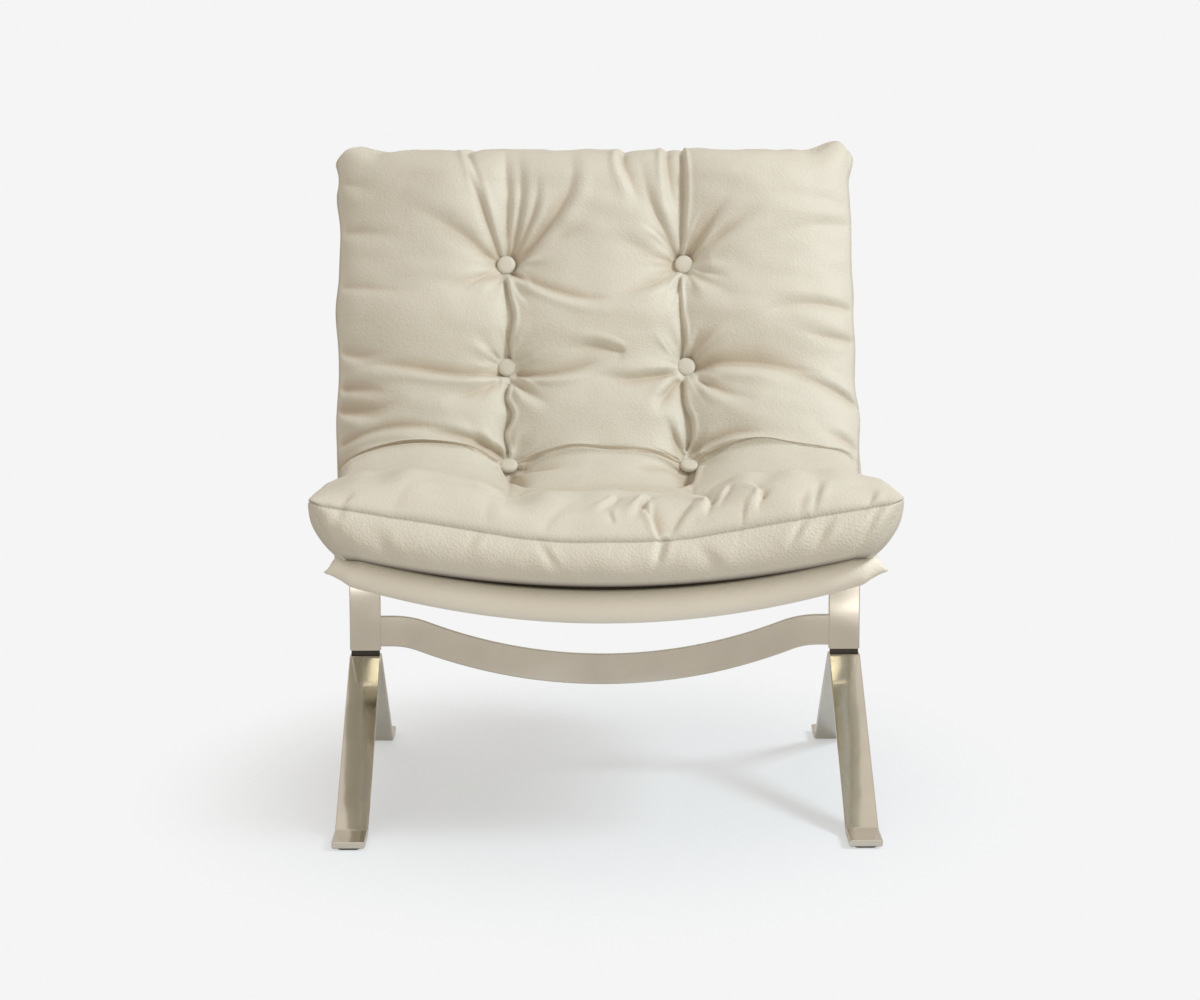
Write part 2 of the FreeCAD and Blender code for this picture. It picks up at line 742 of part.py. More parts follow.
FRONT_SHARES = (
    (0.00, 1.000, 0.65, 0.49, 0.32, 0.25),
    (0.20, 0.990, 0.66, 0.80, 0.52, 0.60),
    (0.52, 0.975, 0.66, 0.96, 0.56, 0.70),
)
SEAT_ROW_SHARES = (
    (0.00, 0.970, 0.64, 0.80, 0.36, 0.58),
    (0.52, 0.965, 0.65, 0.80, 0.50, 0.58),
)
CREASE_FRONT_SHARES = (
    (0.00, 0.965, 0.64, 0.72, 0.38, 0.52),
    (0.50, 0.970, 0.64, 0.74, 0.52, 0.56),
    (0.80, 0.975, 0.60, 0.70, 0.58, 0.62),
    (1.00, 0.980, 0.56, 0.65, 0.61, 0.66),
)
CREASE_BACK_SHARES = (
    (0.00, 0.980, 0.56, 0.65, 0.61, 0.66),
    (0.34, 0.985, 0.54, 0.78, 0.60, 0.72),
    (0.62, 0.980, 0.52, 0.80, 0.60, 0.74),
)
BACK_ROW_SHARES = (
    (0.00, 0.978, 0.50, 0.74, 0.50, 0.70),
    (0.50, 0.975, 0.50, 0.80, 0.60, 0.76),
)
TOP_SHARES = (
    (0.00, 0.978, 0.48, 0.74, 0.50, 0.68),
    (0.52, 0.980, 0.44, 0.72, 0.56, 0.68),
    (1.00, 1.000, 0.36, 0.40, 0.38, 0.40),
)


def seat_start():
    return FRONT_ROD_INSET - PAD_FRONT


def pad_top():
    return side_bar_length() + PAD_TOP_RISE


def stretch(start, end, table):
    """Stations of one stretch: the place along the side bar, and the shares there."""
    return [(start + (end - start) * row[0], row[1:]) for row in table]


def eased(stations):
    """The same stations with one more between each two, on a smooth curve through them."""
    fine = []
    last = len(stations) - 1
    for i in range(last):
        near, far = stations[i], stations[i + 1]
        before, after = stations[max(i - 1, 0)][1], stations[min(i + 2, last)][1]
        four = zip(before, near[1], far[1], after)
        between = [(9 * (b + c) - a - d) / 16 for a, b, c, d in four]
        fine += [near, ((near[0] + far[0]) / 2, between)]
    return fine + [stations[last]]


def seat_stations():
    rows = seat_rows()
    return eased(
        stretch(seat_start(), rows[0], FRONT_SHARES)
        + stretch(rows[0], rows[1], SEAT_ROW_SHARES)
        + stretch(rows[1], CREASE - SEAT_GAP / 2, CREASE_FRONT_SHARES)
    )


def back_stations():
    rows = back_rows()
    return eased(
        stretch(CREASE + SEAT_GAP / 2, rows[0], CREASE_BACK_SHARES)
        + stretch(rows[0], rows[1], BACK_ROW_SHARES)
        + stretch(rows[1], pad_top(), TOP_SHARES)
    )


def seat_rows():
    """Places of the seat's button rows; the pad loses the front half of the bend to the crease."""
    last = CREASE - CREASE_LOST - SEAT_ROW_PITCH
    return [last - SEAT_ROW_PITCH, last]


def back_rows():
    first = CREASE + CREASE_LOST + BACK_ROW_PITCH
    return [first, first + BACK_ROW_PITCH]


def pad_section(along, shares):
    """Closed section of the pad: bottom, two drawn-in sides and three tufted lobes."""
    width, seam, outer, channel, middle = shares
    sag = sling_sag(along)
    half = PAD_HALF * width
    rest = PAD_REST_HALF
    seam_lift, outer_lift = PAD_HEIGHT * seam, PAD_HEIGHT * outer
    channel_lift, middle_lift = PAD_HEIGHT * channel, PAD_HEIGHT * middle
    side_mid = (half + rest) / 2 + PAD_SIDE_BULGE
    low = PAD_BOTTOM - PAD_TRIM / 2

    def at(x, lift):
        return spot(along, x, lift)

    seam_middle = (PAD_BOTTOM + seam_lift) / 2
    crown = (half + BUTTON_COLUMN) / 2
    rests, seams = (at(-rest, low), at(rest, low)), (at(-half, seam_lift), at(half, seam_lift))
    channels = at(-BUTTON_COLUMN, channel_lift), at(BUTTON_COLUMN, channel_lift)
    return (
        facets(rests[0], at(0, low - sag), rests[1], SAG_STEPS)
        + facets(rests[1], at(side_mid, seam_middle), seams[1], WALL_STEPS)
        + facets(seams[1], at(crown, outer_lift), channels[1], LOBE_STEPS)
        + facets(channels[1], at(0, middle_lift), channels[0], LOBE_STEPS)
        + facets(channels[0], at(-crown, outer_lift), seams[0], LOBE_STEPS)
        + facets(seams[0], at(-side_mid, seam_middle), rests[0], WALL_STEPS)
    )


def pad_body(stations):
    return loft([pad_section(along, shares) for along, shares in stations])


# Buttons

def button_rows():
    """Place along the side bar, and button height above it, of each row, by pad part."""
    seat = zip(seat_rows(), (SEAT_ROW_SHARES, CREASE_FRONT_SHARES))
    back = zip(back_rows(), (BACK_ROW_SHARES, TOP_SHARES))
    return {
        "seat": [(along, PAD_HEIGHT * table[0][4]) for along, table in seat],
        "crease": [(CREASE, CREASE_HEIGHT - BUTTON_RIM)],
        "back": [(along, PAD_HEIGHT * table[0][4]) for along, table in back],
    }


def on_pad(shape, along, x, lift):
    """Stands a shape drawn along +Z on the pad, with its base at that lift."""
    shape = shape.copy()
    shape.rotate(Vector(0, 0, 0), Vector(1, 0, 0), path(along)[2])
    shape.translate(spot(along, x, lift))
    return shape


def button():
    """Leather-covered button: a short rim under a flat-topped cap."""
    rim = prism(BUTTON_SIDES, BUTTON_RADIUS, BUTTON_RIM)
    return rim.fuse(taper(BUTTON_SIDES, BUTTON_RADIUS, BUTTON_RADIUS / 2, BUTTON_DOME, BUTTON_RIM))


def pad_bottom_lift(along, x):
    """Lift of the pad's underside there, on the sling's flat strips."""
    places = seat_places(CREASE) + back_places(CREASE)
    after = next(place for place in places if place >= along)
    before = max(place for place in places if place <= along)
    share = (along - before) / max(after - before, SEAT_GAP)
    lifts = [sag_at(x, sling_sag(place), HALF_INNER) - sling_sag(place) for place in (before, after)]
    return PAD_BOTTOM + lifts[0] + (lifts[1] - lifts[0]) * share


def tuft_parts(rows):
    """Buttons, ties and washers of these rows, with the room that they need in the pad."""
    buttons, ties, washers, rooms = [], [], [], []
    for along, lift in rows:
        for x in (-BUTTON_COLUMN, BUTTON_COLUMN):
            low = pad_bottom_lift(along, BUTTON_COLUMN + WASHER_RADIUS)
            if along == CREASE:
                low += WASHER_RADIUS ** 2 / CREASE_BEND_RADIUS
            buttons.append(on_pad(button(), along, x, lift))
            washer_low = low + 2 * SEAT_GAP
            washer_top = washer_low + WASHER_THICK
            washers.append(on_pad(prism(WASHER_SIDES, WASHER_RADIUS, WASHER_THICK), along, x, washer_low))
            tie = prism(TIE_SIDES, TIE_RADIUS, lift - washer_top)
            ties.append(on_pad(tie, along, x, washer_top))
            well = prism(BUTTON_SIDES, BUTTON_RADIUS + SEAT_GAP, PAD_HEIGHT)
            rooms.append(on_pad(well, along, x, lift - SEAT_GAP))
            hole = prism(TIE_SIDES, TIE_RADIUS + SEAT_GAP, lift - low + OVERRUN)
            rooms.append(on_pad(hole, along, x, low - OVERRUN / 2))
            seat = prism(WASHER_SIDES, WASHER_RADIUS + SEAT_GAP, WASHER_THICK + 3 * SEAT_GAP + OVERRUN)
            rooms.append(on_pad(seat, along, x, low - OVERRUN))
    return buttons, ties, washers, rooms


# Cores

def core(start, end, grow):
    """Sagging foam slab inside the pad; grow enlarges it into the room that it lies in."""
    sections = []
    span = end - start
    for share in (0, 0.5, 1):
        along = start - grow + (span + 2 * grow) * share
        sag = sling_sag(along)
        half = CORE_HALF + grow
        low = PAD_BOTTOM + CORE_COVER - sag - grow
        high = low + CORE_THICK + 2 * grow
        edge = sag_at(half, sag, PAD_REST_HALF)
        outline = ((-half, low), (half, low), (half, high), (-half, high))
        corners = [spot(along, x, lift + edge) for x, lift in outline]
        under = facets(corners[0], spot(along, 0, low), corners[1], SAG_STEPS)
        over = facets(corners[2], spot(along, 0, high), corners[3], SAG_STEPS)
        sections.append(under + [line(corners[1], corners[2])] + over + [line(corners[3], corners[0])])
    return loft(sections)


def cores(grow=0.0):
    seat = core(seat_start() + CORE_START, SEAT_RUN - CORE_END_GAP, grow)
    back = core(BACK_START + CORE_END_GAP / 2, pad_top() - CORE_START, grow)
    return seat, back


# Assembly

def build():
    nodes = {}
    foot_room = group(foot_screws(SCREW_FIT))
    neck_room = group(neck_screws(SCREW_FIT))
    post_room = group(post_screws(SCREW_FIT))

    right_leg = leg_bar()
    right_neck = neck()
    right_post = post()
    right_side = side_bar()
    for side, turn in (("left", mirrored), ("right", lambda shape: shape)):
        nodes[side + "_leg_bar"] = turn(right_leg).cut(foot_room).cut(neck_room)
        nodes[side + "_leg_neck"] = turn(right_neck).cut(neck_room)
        nodes[side + "_post"] = turn(right_post).cut(neck_room).cut(post_room)
        nodes[side + "_side_bar"] = turn(right_side).cut(post_room)
    nodes["front_stretcher"] = stretcher()
    nodes["seat_front_rod"] = front_rod()
    nodes["crease_rod"] = crease_rod()
    nodes["back_top_rod"] = top_rod()
    nodes["leg_neck_screws"] = group(neck_screws())
    nodes["post_screws"] = group(post_screws())

    for name, (x, y) in foot_places().items():
        nodes[name] = foot_pad(x, y)
    nodes["foot_screws"] = group(foot_screws())

    bar_ends = group([grown_bar_end(), mirrored(grown_bar_end())])
    nodes["sling_front_roll"] = sling_front_roll(bar_ends)
    nodes["sling_seat_panel"] = sling_seat_panel()
    nodes["sling_back_panel"] = sling_back_panel()
    nodes["sling_top_hem"] = sling_top_hem()

    pads = {"seat": pad_body(seat_stations()), "back": pad_body(back_stations())}
    for pad_name, room in sling_rooms().items():
        pads[pad_name] = pads[pad_name].cut(room)
    foam = dict(zip(("seat", "back"), cores()))
    foam_room = dict(zip(("seat", "back"), cores(SEAT_GAP)))
    for part_name, rows in button_rows().items():
        buttons, ties, washers, rooms = tuft_parts(rows)
        nodes[part_name + "_buttons"] = group(buttons)
        nodes[part_name + "_button_ties"] = group(ties)
        nodes[part_name + "_button_washers"] = group(washers)
        for pad_name in pads:
            if part_name in (pad_name, "crease"):
                for room in rooms:
                    pads[pad_name] = pads[pad_name].cut(room)
                    foam[pad_name] = foam[pad_name].cut(room)
    for name in ("seat", "back"):
        nodes[name + "_pad"] = pads[name].cut(foam_room[name])
        nodes[name + "_pad_core"] = foam[name]
    return nodes


def centred(nodes):
    """Moves every node so that the origin is under the middle of the whole chair."""
    box = FreeCAD.BoundBox()
    for shape in nodes.values():
        box.add(shape.optimalBoundingBox())
    middle = Vector(box.Center.x, box.Center.y, box.ZMin)
    print("front toe line is at y = %.3f" % -middle.y)
    for shape in nodes.values():
        shape.translate(-middle)
    return nodes


os.makedirs("parts", exist_ok=True)
for node_name, node_shape in centred(build()).items():
    solids = node_shape.Solids
    print(
        "%-26s solids %2d  valid %s  volume %.0f"
        % (node_name, len(solids), node_shape.isValid(), node_shape.Volume)
    )
    if len(solids) == 1:
        node_shape = solids[0]
    node_shape.exportStep("parts/" + node_name + ".step")
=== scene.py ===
"""The looks of the leather lounge chair: its pad, sling and buttons, the finishes and the studio."""

from math import atan2, cos, pi, radians, sin, tan

import bmesh
import bpy
import numpy as np
from mathutils import Matrix, Vector


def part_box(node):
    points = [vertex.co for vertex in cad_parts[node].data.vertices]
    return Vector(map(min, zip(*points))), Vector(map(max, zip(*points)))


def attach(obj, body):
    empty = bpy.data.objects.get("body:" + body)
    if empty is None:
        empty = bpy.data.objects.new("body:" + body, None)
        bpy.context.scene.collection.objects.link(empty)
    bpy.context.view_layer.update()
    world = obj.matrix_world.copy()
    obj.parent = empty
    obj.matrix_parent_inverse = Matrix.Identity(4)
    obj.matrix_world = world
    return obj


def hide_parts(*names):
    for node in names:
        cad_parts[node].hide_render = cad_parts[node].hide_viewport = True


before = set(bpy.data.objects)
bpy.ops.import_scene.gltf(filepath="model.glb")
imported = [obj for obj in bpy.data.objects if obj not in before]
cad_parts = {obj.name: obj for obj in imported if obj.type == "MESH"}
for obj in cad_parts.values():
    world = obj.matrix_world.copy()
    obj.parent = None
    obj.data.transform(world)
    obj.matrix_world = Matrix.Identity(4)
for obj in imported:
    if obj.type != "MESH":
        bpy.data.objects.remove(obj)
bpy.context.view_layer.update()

# Side view of the chair, in metres from the front toe line. These follow the frame.
FRAME_HALF = 0.330
BAR_WIDTH = 0.040
HALF_INNER = FRAME_HALF - BAR_WIDTH
HALF_BAR = 0.004
SIDE_BAR_START = 0.020
SIDE_BAR_FRONT_HEIGHT = 0.342
SEAT_ANGLE = radians(4.0)
BACK_ANGLE = radians(19.0)
CREASE_CORNER = 0.545
CREASE_RADIUS = 0.090
SIDE_BAR_TOP = 0.775
TOE_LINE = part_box("left_leg_bar")[0][1]

# The sling under the pad
SLING_HALF = 0.328
SLING_THICK = 0.005
SLING_GAP = 0.0003
SLING_FRONT_SAG = 0.031
SLING_SEAT_SAG = 0.026
SLING_BACK_SAG = 0.019
SLING_ROD_SAG = 0.0005
TOP_ROD_INSET = 0.014
ROLL_BEHIND_ROD = 0.020
ROLL_HALF_DEPTH = 0.027
ROLL_END_HALF_DEPTH = 0.021
ROLL_TIP_START = 0.318
ROLL_TIP_END = 0.336

# The pad on it
PAD_BOTTOM = 0.0056
PAD_START = -0.042
PAD_OVER_TOP = 0.018
PAD_REST_HALF = 0.318
CREASE_TOP_RUN = 0.014
BUTTON_COLUMN = 0.120
BUTTON_RADIUS = 0.0125

CREASE_TURN = pi / 2 - BACK_ANGLE + SEAT_ANGLE
BEND_REACH = CREASE_RADIUS * tan(CREASE_TURN / 2)
SEAT_RUN = (CREASE_CORNER - SIDE_BAR_START) / cos(SEAT_ANGLE) - BEND_REACH
BEND_RUN = CREASE_RADIUS * CREASE_TURN
CREASE = SEAT_RUN + BEND_RUN / 2
BACK_START = SEAT_RUN + BEND_RUN
CORNER_HEIGHT = SIDE_BAR_FRONT_HEIGHT - (CREASE_CORNER - SIDE_BAR_START) * tan(SEAT_ANGLE)
BAR_LENGTH = BACK_START - BEND_REACH + (SIDE_BAR_TOP - CORNER_HEIGHT) / cos(BACK_ANGLE)
TOP_ROD = BAR_LENGTH - TOP_ROD_INSET
PAD_END = BAR_LENGTH + PAD_OVER_TOP

# Button rows, as places along the side bar with the buttons' height above it
SEAT_ROWS = ((CREASE - 0.356, 0.0425), (CREASE - 0.206, 0.0425))
CREASE_ROWS = ((CREASE, 0.084),)
BACK_ROWS = ((CREASE + 0.198, 0.059), (CREASE + 0.340, 0.059))


def path(along):
    """Points and angles on the side bar's centreline, that far from its front end."""
    along = np.asarray(along, float)
    on_seat = np.minimum(along, SEAT_RUN)
    y = SIDE_BAR_START + cos(SEAT_ANGLE) * on_seat
    z = SIDE_BAR_FRONT_HEIGHT - sin(SEAT_ANGLE) * on_seat
    turn = np.clip(along - SEAT_RUN, 0, BEND_RUN) / CREASE_RADIUS
    angle = -SEAT_ANGLE + turn
    y = y + CREASE_RADIUS * (np.sin(angle) + sin(SEAT_ANGLE))
    z = z + CREASE_RADIUS * (cos(SEAT_ANGLE) - np.cos(angle))
    rest = np.maximum(along - BACK_START, 0)
    return y + np.cos(angle) * rest + TOE_LINE, z + np.sin(angle) * rest, angle


def spots(along, x, lift):
    """Points at x across the chair, lift above the side bar's upper face."""
    y, z, angle = path(along)
    reach = HALF_BAR + np.asarray(lift, float)
    x = np.broadcast_to(np.asarray(x, float), np.shape(y + reach * angle))
    return np.stack([x, y - np.sin(angle) * reach, z + np.cos(angle) * reach], -1)


def sling_sag(along):
    """How far the sling hangs down in its middle, that far along the side bar."""
    seat_share = np.clip(along, 0, CREASE) / CREASE
    straight = SLING_FRONT_SAG + (SLING_ROD_SAG - SLING_FRONT_SAG) * seat_share
    middle = 4 * seat_share * (1 - seat_share)
    seat = straight + middle * (SLING_SEAT_SAG - (SLING_FRONT_SAG + SLING_ROD_SAG) / 2)
    share = np.clip((along - CREASE) / (TOP_ROD - CREASE), 0, 1)
    back = SLING_ROD_SAG + (SLING_BACK_SAG - SLING_ROD_SAG) * 4 * share * (1 - share)
    return np.where(along < CREASE, seat, back)


def hang(x, sag, half):
    """Height of a sag above its lowest point, that far from its middle."""
    return sag * np.clip(np.abs(x) / half, 0, 1) ** 2


def smooth(x, low, high):
    """Smooth step from 0 at low to 1 at high."""
    t = np.clip((x - low) / (high - low), 0, 1)
    return t * t * (3 - 2 * t)


def bump(x, middle, width):
    """Round bump of height 1 at the middle."""
    return np.exp(-(((x - middle) / width) ** 2))


def hill(x, shape):
    """Round hill of a (height, middle, width)."""
    height, middle, width = shape
    return height * bump(x, middle, width)


def curve_through(places, values):
    """Smooth curve through the values at those places, as a function."""
    places, values = np.array(places, float), np.array(values, float)
    slopes = np.gradient(values, places)

    def at(x):
        x = np.clip(x, places[0], places[-1])
        i = np.clip(np.searchsorted(places, x) - 1, 0, len(places) - 2)
        step = places[i + 1] - places[i]
        t = (x - places[i]) / step
        a = (1 + 2 * t) * (1 - t) ** 2 * values[i] + t * (1 - t) ** 2 * step * slopes[i]
        b = t * t * (3 - 2 * t) * values[i + 1] + t * t * (t - 1) * step * slopes[i + 1]
        return a + b

    return at


# Pad

SEAT_TOP_RUN = SEAT_RUN - PAD_START
TOP_RUN = SEAT_TOP_RUN + CREASE_TOP_RUN + PAD_END - BACK_START
CREASE_TOP = SEAT_TOP_RUN + CREASE_TOP_RUN / 2
BACK_TOP_START = SEAT_TOP_RUN + CREASE_TOP_RUN


def along_of(run):
    """Place along the side bar under a point of the pad's upper face, by its run on that face."""
    run = np.asarray(run, float)
    seat = np.minimum(run, SEAT_TOP_RUN) + PAD_START
    bend = np.clip(run - SEAT_TOP_RUN, 0, CREASE_TOP_RUN) / CREASE_TOP_RUN * BEND_RUN
    return seat + bend + np.maximum(run - BACK_TOP_START, 0)


def run_of(along):
    """Run on the pad's upper face over a place along the side bar."""
    seat = min(along, SEAT_RUN) - PAD_START
    bend = min(max(along - SEAT_RUN, 0), BEND_RUN) / BEND_RUN * CREASE_TOP_RUN
    return seat + bend + max(along - BACK_START, 0)


ROW_RUNS = [run_of(row[0]) for row in SEAT_ROWS + CREASE_ROWS + BACK_ROWS]
FRONT_ROW, SEAT_ROW, CREASE_ROW, LOW_ROW, HIGH_ROW = ROW_RUNS

# Lifts of the upper face above the side bar, along the seam, the outer lobes, the button
# columns and the middle lobe
SEAM_LIFT = curve_through(
    (0, 0.06, 0.20, 0.35, 0.48, CREASE_TOP, 0.54, LOW_ROW, HIGH_ROW, 0.90, TOP_RUN),
    (0.0767, 0.076, 0.072, 0.070, 0.068, 0.066, 0.060, 0.050, 0.048, 0.044, 0.038),
)
LOBE_RUNS = (
    0, 0.012, 0.03, 0.06, 0.10, 0.15, FRONT_ROW, 0.277, SEAT_ROW, 0.40, 0.43, 0.455, 0.475, 0.492,
    CREASE_TOP, 0.522, 0.55, 0.59, LOW_ROW, 0.723, HIGH_ROW, 0.87, 0.92, 0.945, TOP_RUN,
)
OUTER_LIFT = curve_through(
    LOBE_RUNS,
    (0.058, 0.076, 0.091, 0.102, 0.106, 0.103, 0.096, 0.093, 0.085, 0.086, 0.092, 0.103, 0.114, 0.119,
     0.114, 0.118, 0.112, 0.106, 0.091, 0.098, 0.090, 0.094, 0.091, 0.088, 0.086),
)
COLUMN_LIFT = curve_through(
    LOBE_RUNS,
    (0.038, 0.056, 0.068, 0.076, 0.076, 0.068, 0.055, 0.062, 0.053, 0.058, 0.060, 0.062, 0.065, 0.070,
     0.078, 0.079, 0.081, 0.082, 0.070, 0.080, 0.070, 0.080, 0.080, 0.080, 0.080),
)
MIDDLE_LIFT = curve_through(
    LOBE_RUNS,
    (0.0295, 0.044, 0.058, 0.072, 0.080, 0.076, 0.068, 0.067, 0.059, 0.062, 0.070, 0.086, 0.101, 0.110,
     0.108, 0.110, 0.107, 0.102, 0.089, 0.098, 0.088, 0.094, 0.091, 0.088, 0.086),
)
HALF_WIDTH = curve_through(
    (0, 0.03, 0.10, 0.30, 0.47, CREASE_TOP, 0.56, LOW_ROW, 0.70, HIGH_ROW, 0.90, 0.94, TOP_RUN),
    (0.353, 0.349, 0.343, 0.340, 0.342, 0.347, 0.350, 0.347, 0.349, 0.347, 0.348, 0.349, 0.350),
)
PAD_LEAN = 0.012
TOP_TURN = 0.048
TOP_SEAM = 0.038
# How full the lobes are: the powers of the middle lobe and of both slopes of the outer lobes
MIDDLE_FULLNESS = 2.2
INNER_SLOPE = 0.85
SEAT_OUTER_SLOPE = 0.40
BACK_OUTER_SLOPE = 0.55
# How far high lobes stay off the crease's plane, and the length over which they ease up to it
CREASE_PLAY = 0.005
CREASE_EASE = 0.012


def lean_at(run):
    """How far the slack pad has shifted to the left there: the more, the nearer its top."""
    return PAD_LEAN * (along_of(run) - PAD_START) / (PAD_END - PAD_START)


def upper_lift(x, run):
    """Lift of the pad's plain upper face: three lobes between the seams and button columns."""
    size, half = np.abs(x), HALF_WIDTH(run)
    seam, outer, column, middle = SEAM_LIFT(run), OUTER_LIFT(run), COLUMN_LIFT(run), MIDDLE_LIFT(run)
    inner = np.clip(size / BUTTON_COLUMN, 0, 1)
    core = column + (middle - column) * (1 - inner ** MIDDLE_FULLNESS)
    q = np.clip((size - BUTTON_COLUMN) / (half - BUTTON_COLUMN), 0, 1)
    base = column + (seam - column) * q
    hump = np.clip(4 * q * (1 - q), 0, 1)
    outer_slope = np.where(run < CREASE_TOP, SEAT_OUTER_SLOPE, BACK_OUTER_SLOPE)
    hump = np.where(q < 0.5, hump ** INNER_SLOPE, hump ** outer_slope)
    lobe = base + (outer - (column + seam) / 2) * hump
    plain = np.where(size < BUTTON_COLUMN, core, lobe)
    turn = np.clip(1 - (TOP_RUN - run) / TOP_TURN, 0, 1)
    return TOP_SEAM + (plain - TOP_SEAM) * np.sqrt(1 - turn ** 2)


def upper_place(run, lift):
    """Place along the bar for a point of the upper face; high lobes end at the crease's plane."""
    along = along_of(run)
    over = np.maximum(lift - (CREASE_RADIUS - HALF_BAR - CREASE_PLAY), 0) * tan(CREASE_TURN / 2)
    seat = run < CREASE_TOP
    limit = np.where(seat, SEAT_RUN - over, BACK_START + over)
    gap = np.where(seat, limit - along, along - limit)
    eased = CREASE_EASE * np.exp(np.minimum(gap - CREASE_EASE, 0) / CREASE_EASE)
    eased = np.where(gap > CREASE_EASE, gap, eased)
    return np.where(over > 0, np.where(seat, limit - eased, limit + eased), along)


# Where the photograph of 1200 by 1000 pixels was taken from: across the chair, back from the
# toe line and up, in metres, with its turns in degrees and its focus in pixels
CAMERA_ACROSS = -0.0261
CAMERA_BACK = 3.7258
CAMERA_UP = 0.9676
CAMERA_TURN = 0.2865
CAMERA_DOWN = 8.31
CAMERA_ROLL = 0.17
CAMERA_SENSOR = 36
PHOTO_SIZE = (1200, 1000)
PHOTO_FOCUS = 3200
# Lift of the plane that the folds of the back are placed on
BACK_FACE_LIFT = 0.088

# The folds of the back, as they lie in the photograph of 1200 by 1000 pixels: depth and width
# in millimetres, a raised lip to the left of the way the points run, whether both ends are
# held by buttons, and the points
BACK_FOLDS = (
    (5.6, 2.7, 1.0, True, ((508, 452), (504, 432), (511, 414), (505, 398), (508, 382))),
    (5.8, 2.8, 1.0, True, ((510, 358), (508, 338), (512, 316), (508, 295), (505, 278))),
    (5.8, 2.8, 1.0, True, ((687, 448), (691, 435), (690, 420), (684, 404), (683, 380))),
    (4.6, 2.4, 1.2, True, ((682, 356), (684, 335), (681, 312), (680, 295), (680, 275))),
    (4.6, 3.4, 1.3, True, ((680, 252), (682, 220), (683, 190), (683, 140))),
    (5.2, 6.5, 1.4, False, ((500, 256), (491, 232), (481, 205), (469, 175), (455, 130))),
    (4.5, 6.0, 1.2, False, ((461, 130), (468, 148), (478, 176), (490, 214))),
    (3.2, 5.0, 1.0, False, ((505, 252), (507, 225), (508, 190), (502, 140))),
    (3.6, 6.0, 0.8, False, ((510, 252), (518, 222), (521, 190), (516, 138))),
    (4.0, 5.5, 1.0, False, ((513, 254), (526, 228), (535, 205), (538, 165))),
    (5.8, 9.0, 1.6, False, ((516, 256), (540, 232), (560, 207), (571, 180), (569, 130))),
    (4.0, 10.0, 0.0, False, ((518, 258), (545, 243), (575, 228), (605, 205))),
    (4.5, 14.0, 0.0, False, ((495, 260), (470, 240), (440, 222), (385, 195))),
    (4.5, 8.0, 1.0, False, ((676, 252), (662, 225), (648, 195), (636, 140))),
    (5.6, 7.5, 1.6, False, ((624, 128), (624, 160), (632, 182), (644, 212))),
    (5.0, 6.0, 1.2, False, ((667, 128), (668, 165), (672, 192), (678, 225))),
    (5.0, 8.0, 1.2, False, ((686, 256), (700, 232), (718, 208), (735, 186))),
    (6.0, 10.0, 1.2, False, ((688, 258), (712, 238), (740, 220), (775, 196))),
    (3.5, 11.0, 0.0, False, ((690, 268), (712, 282), (742, 298))),
    (3.0, 12.0, 0.0, False, ((670, 258), (640, 248), (602, 232))),
    (6.4, 8.0, 1.8, False, ((514, 268), (535, 281), (560, 291), (590, 298), (618, 297), (648, 288))),
    (5.2, 8.0, -1.4, False, ((674, 266), (656, 280), (630, 291), (600, 298))),
    (3.5, 13.0, 0.0, False, ((495, 272), (460, 283), (412, 290))),
    (8.0, 8.0, -1.8, False, ((500, 370), (470, 373), (440, 371), (410, 366), (370, 362), (325, 372))),
    (7.4, 7.0, 1.5, False, ((520, 371), (545, 373), (570, 369), (592, 362), (622, 354))),
    (6.5, 8.0, 1.2, False, ((671, 372), (650, 376), (625, 379), (580, 376))),
    (4.0, 7.0, 1.0, False, ((619, 351), (592, 346), (556, 352))),
    (8.5, 12.0, 2.0, False, ((695, 364), (720, 361), (755, 361), (795, 367), (860, 376))),
    (5.0, 9.0, 1.0, False, ((862, 404), (828, 387), (796, 378), (750, 376))),
    (4.0, 10.0, 0.0, False, ((860, 306), (810, 303), (775, 310), (735, 330))),
    (4.0, 10.0, 0.0, False, ((690, 355), (702, 340), (714, 326), (732, 310))),
    (9.0, 12.0, 2.0, False, ((325, 402), (355, 408), (378, 408), (410, 396))),
    (6.0, 9.0, 1.0, False, ((325, 381), (365, 386), (402, 396))),
    (3.5, 12.0, 0.0, False, ((325, 277), (390, 288), (455, 293))),
    (4.5, 10.0, 1.0, False, ((325, 341), (365, 352), (402, 342))),
    (5.5, 8.0, 0.8, False, ((514, 380), (532, 393), (556, 408))),
    (5.5, 8.0, 0.8, False, ((676, 380), (665, 397), (656, 420))),
    (5.5, 7.0, 1.0, False, ((682, 452), (672, 434), (661, 412))),
    (4.0, 9.0, 0.0, False, ((866, 338), (825, 335), (785, 329))),
    (3.5, 14.0, 0.0, False, ((325, 225), (370, 228), (420, 240))),
    (2.5, 12.0, 0.0, False, ((862, 218), (815, 224), (770, 240))),
    (7.5, 8.0, 1.6, False, ((336, 444), (366, 432), (404, 427), (446, 431), (486, 444))),
    (5.0, 7.0, 1.0, False, ((498, 452), (470, 441), (440, 437), (400, 437))),
    (4.5, 8.0, 1.0, False, ((500, 456), (478, 440), (462, 424))),
    (6.5, 8.0, 1.2, False, ((694, 450), (712, 441), (742, 434), (790, 436))),
    (4.5, 8.0, 1.0, False, ((862, 452), (842, 440), (812, 434))),
    (2.5, 10.0, 0.5, False, ((326, 172), (350, 178), (380, 190))),
    (5.5, 9.0, 0.8, False, ((497, 380), (470, 394), (438, 405))),
    (5.5, 9.0, 0.8, False, ((700, 378), (725, 392), (762, 402))),
)
# How much deeper than that the back's folds are pressed in
FOLD_DEPTH = 1.45
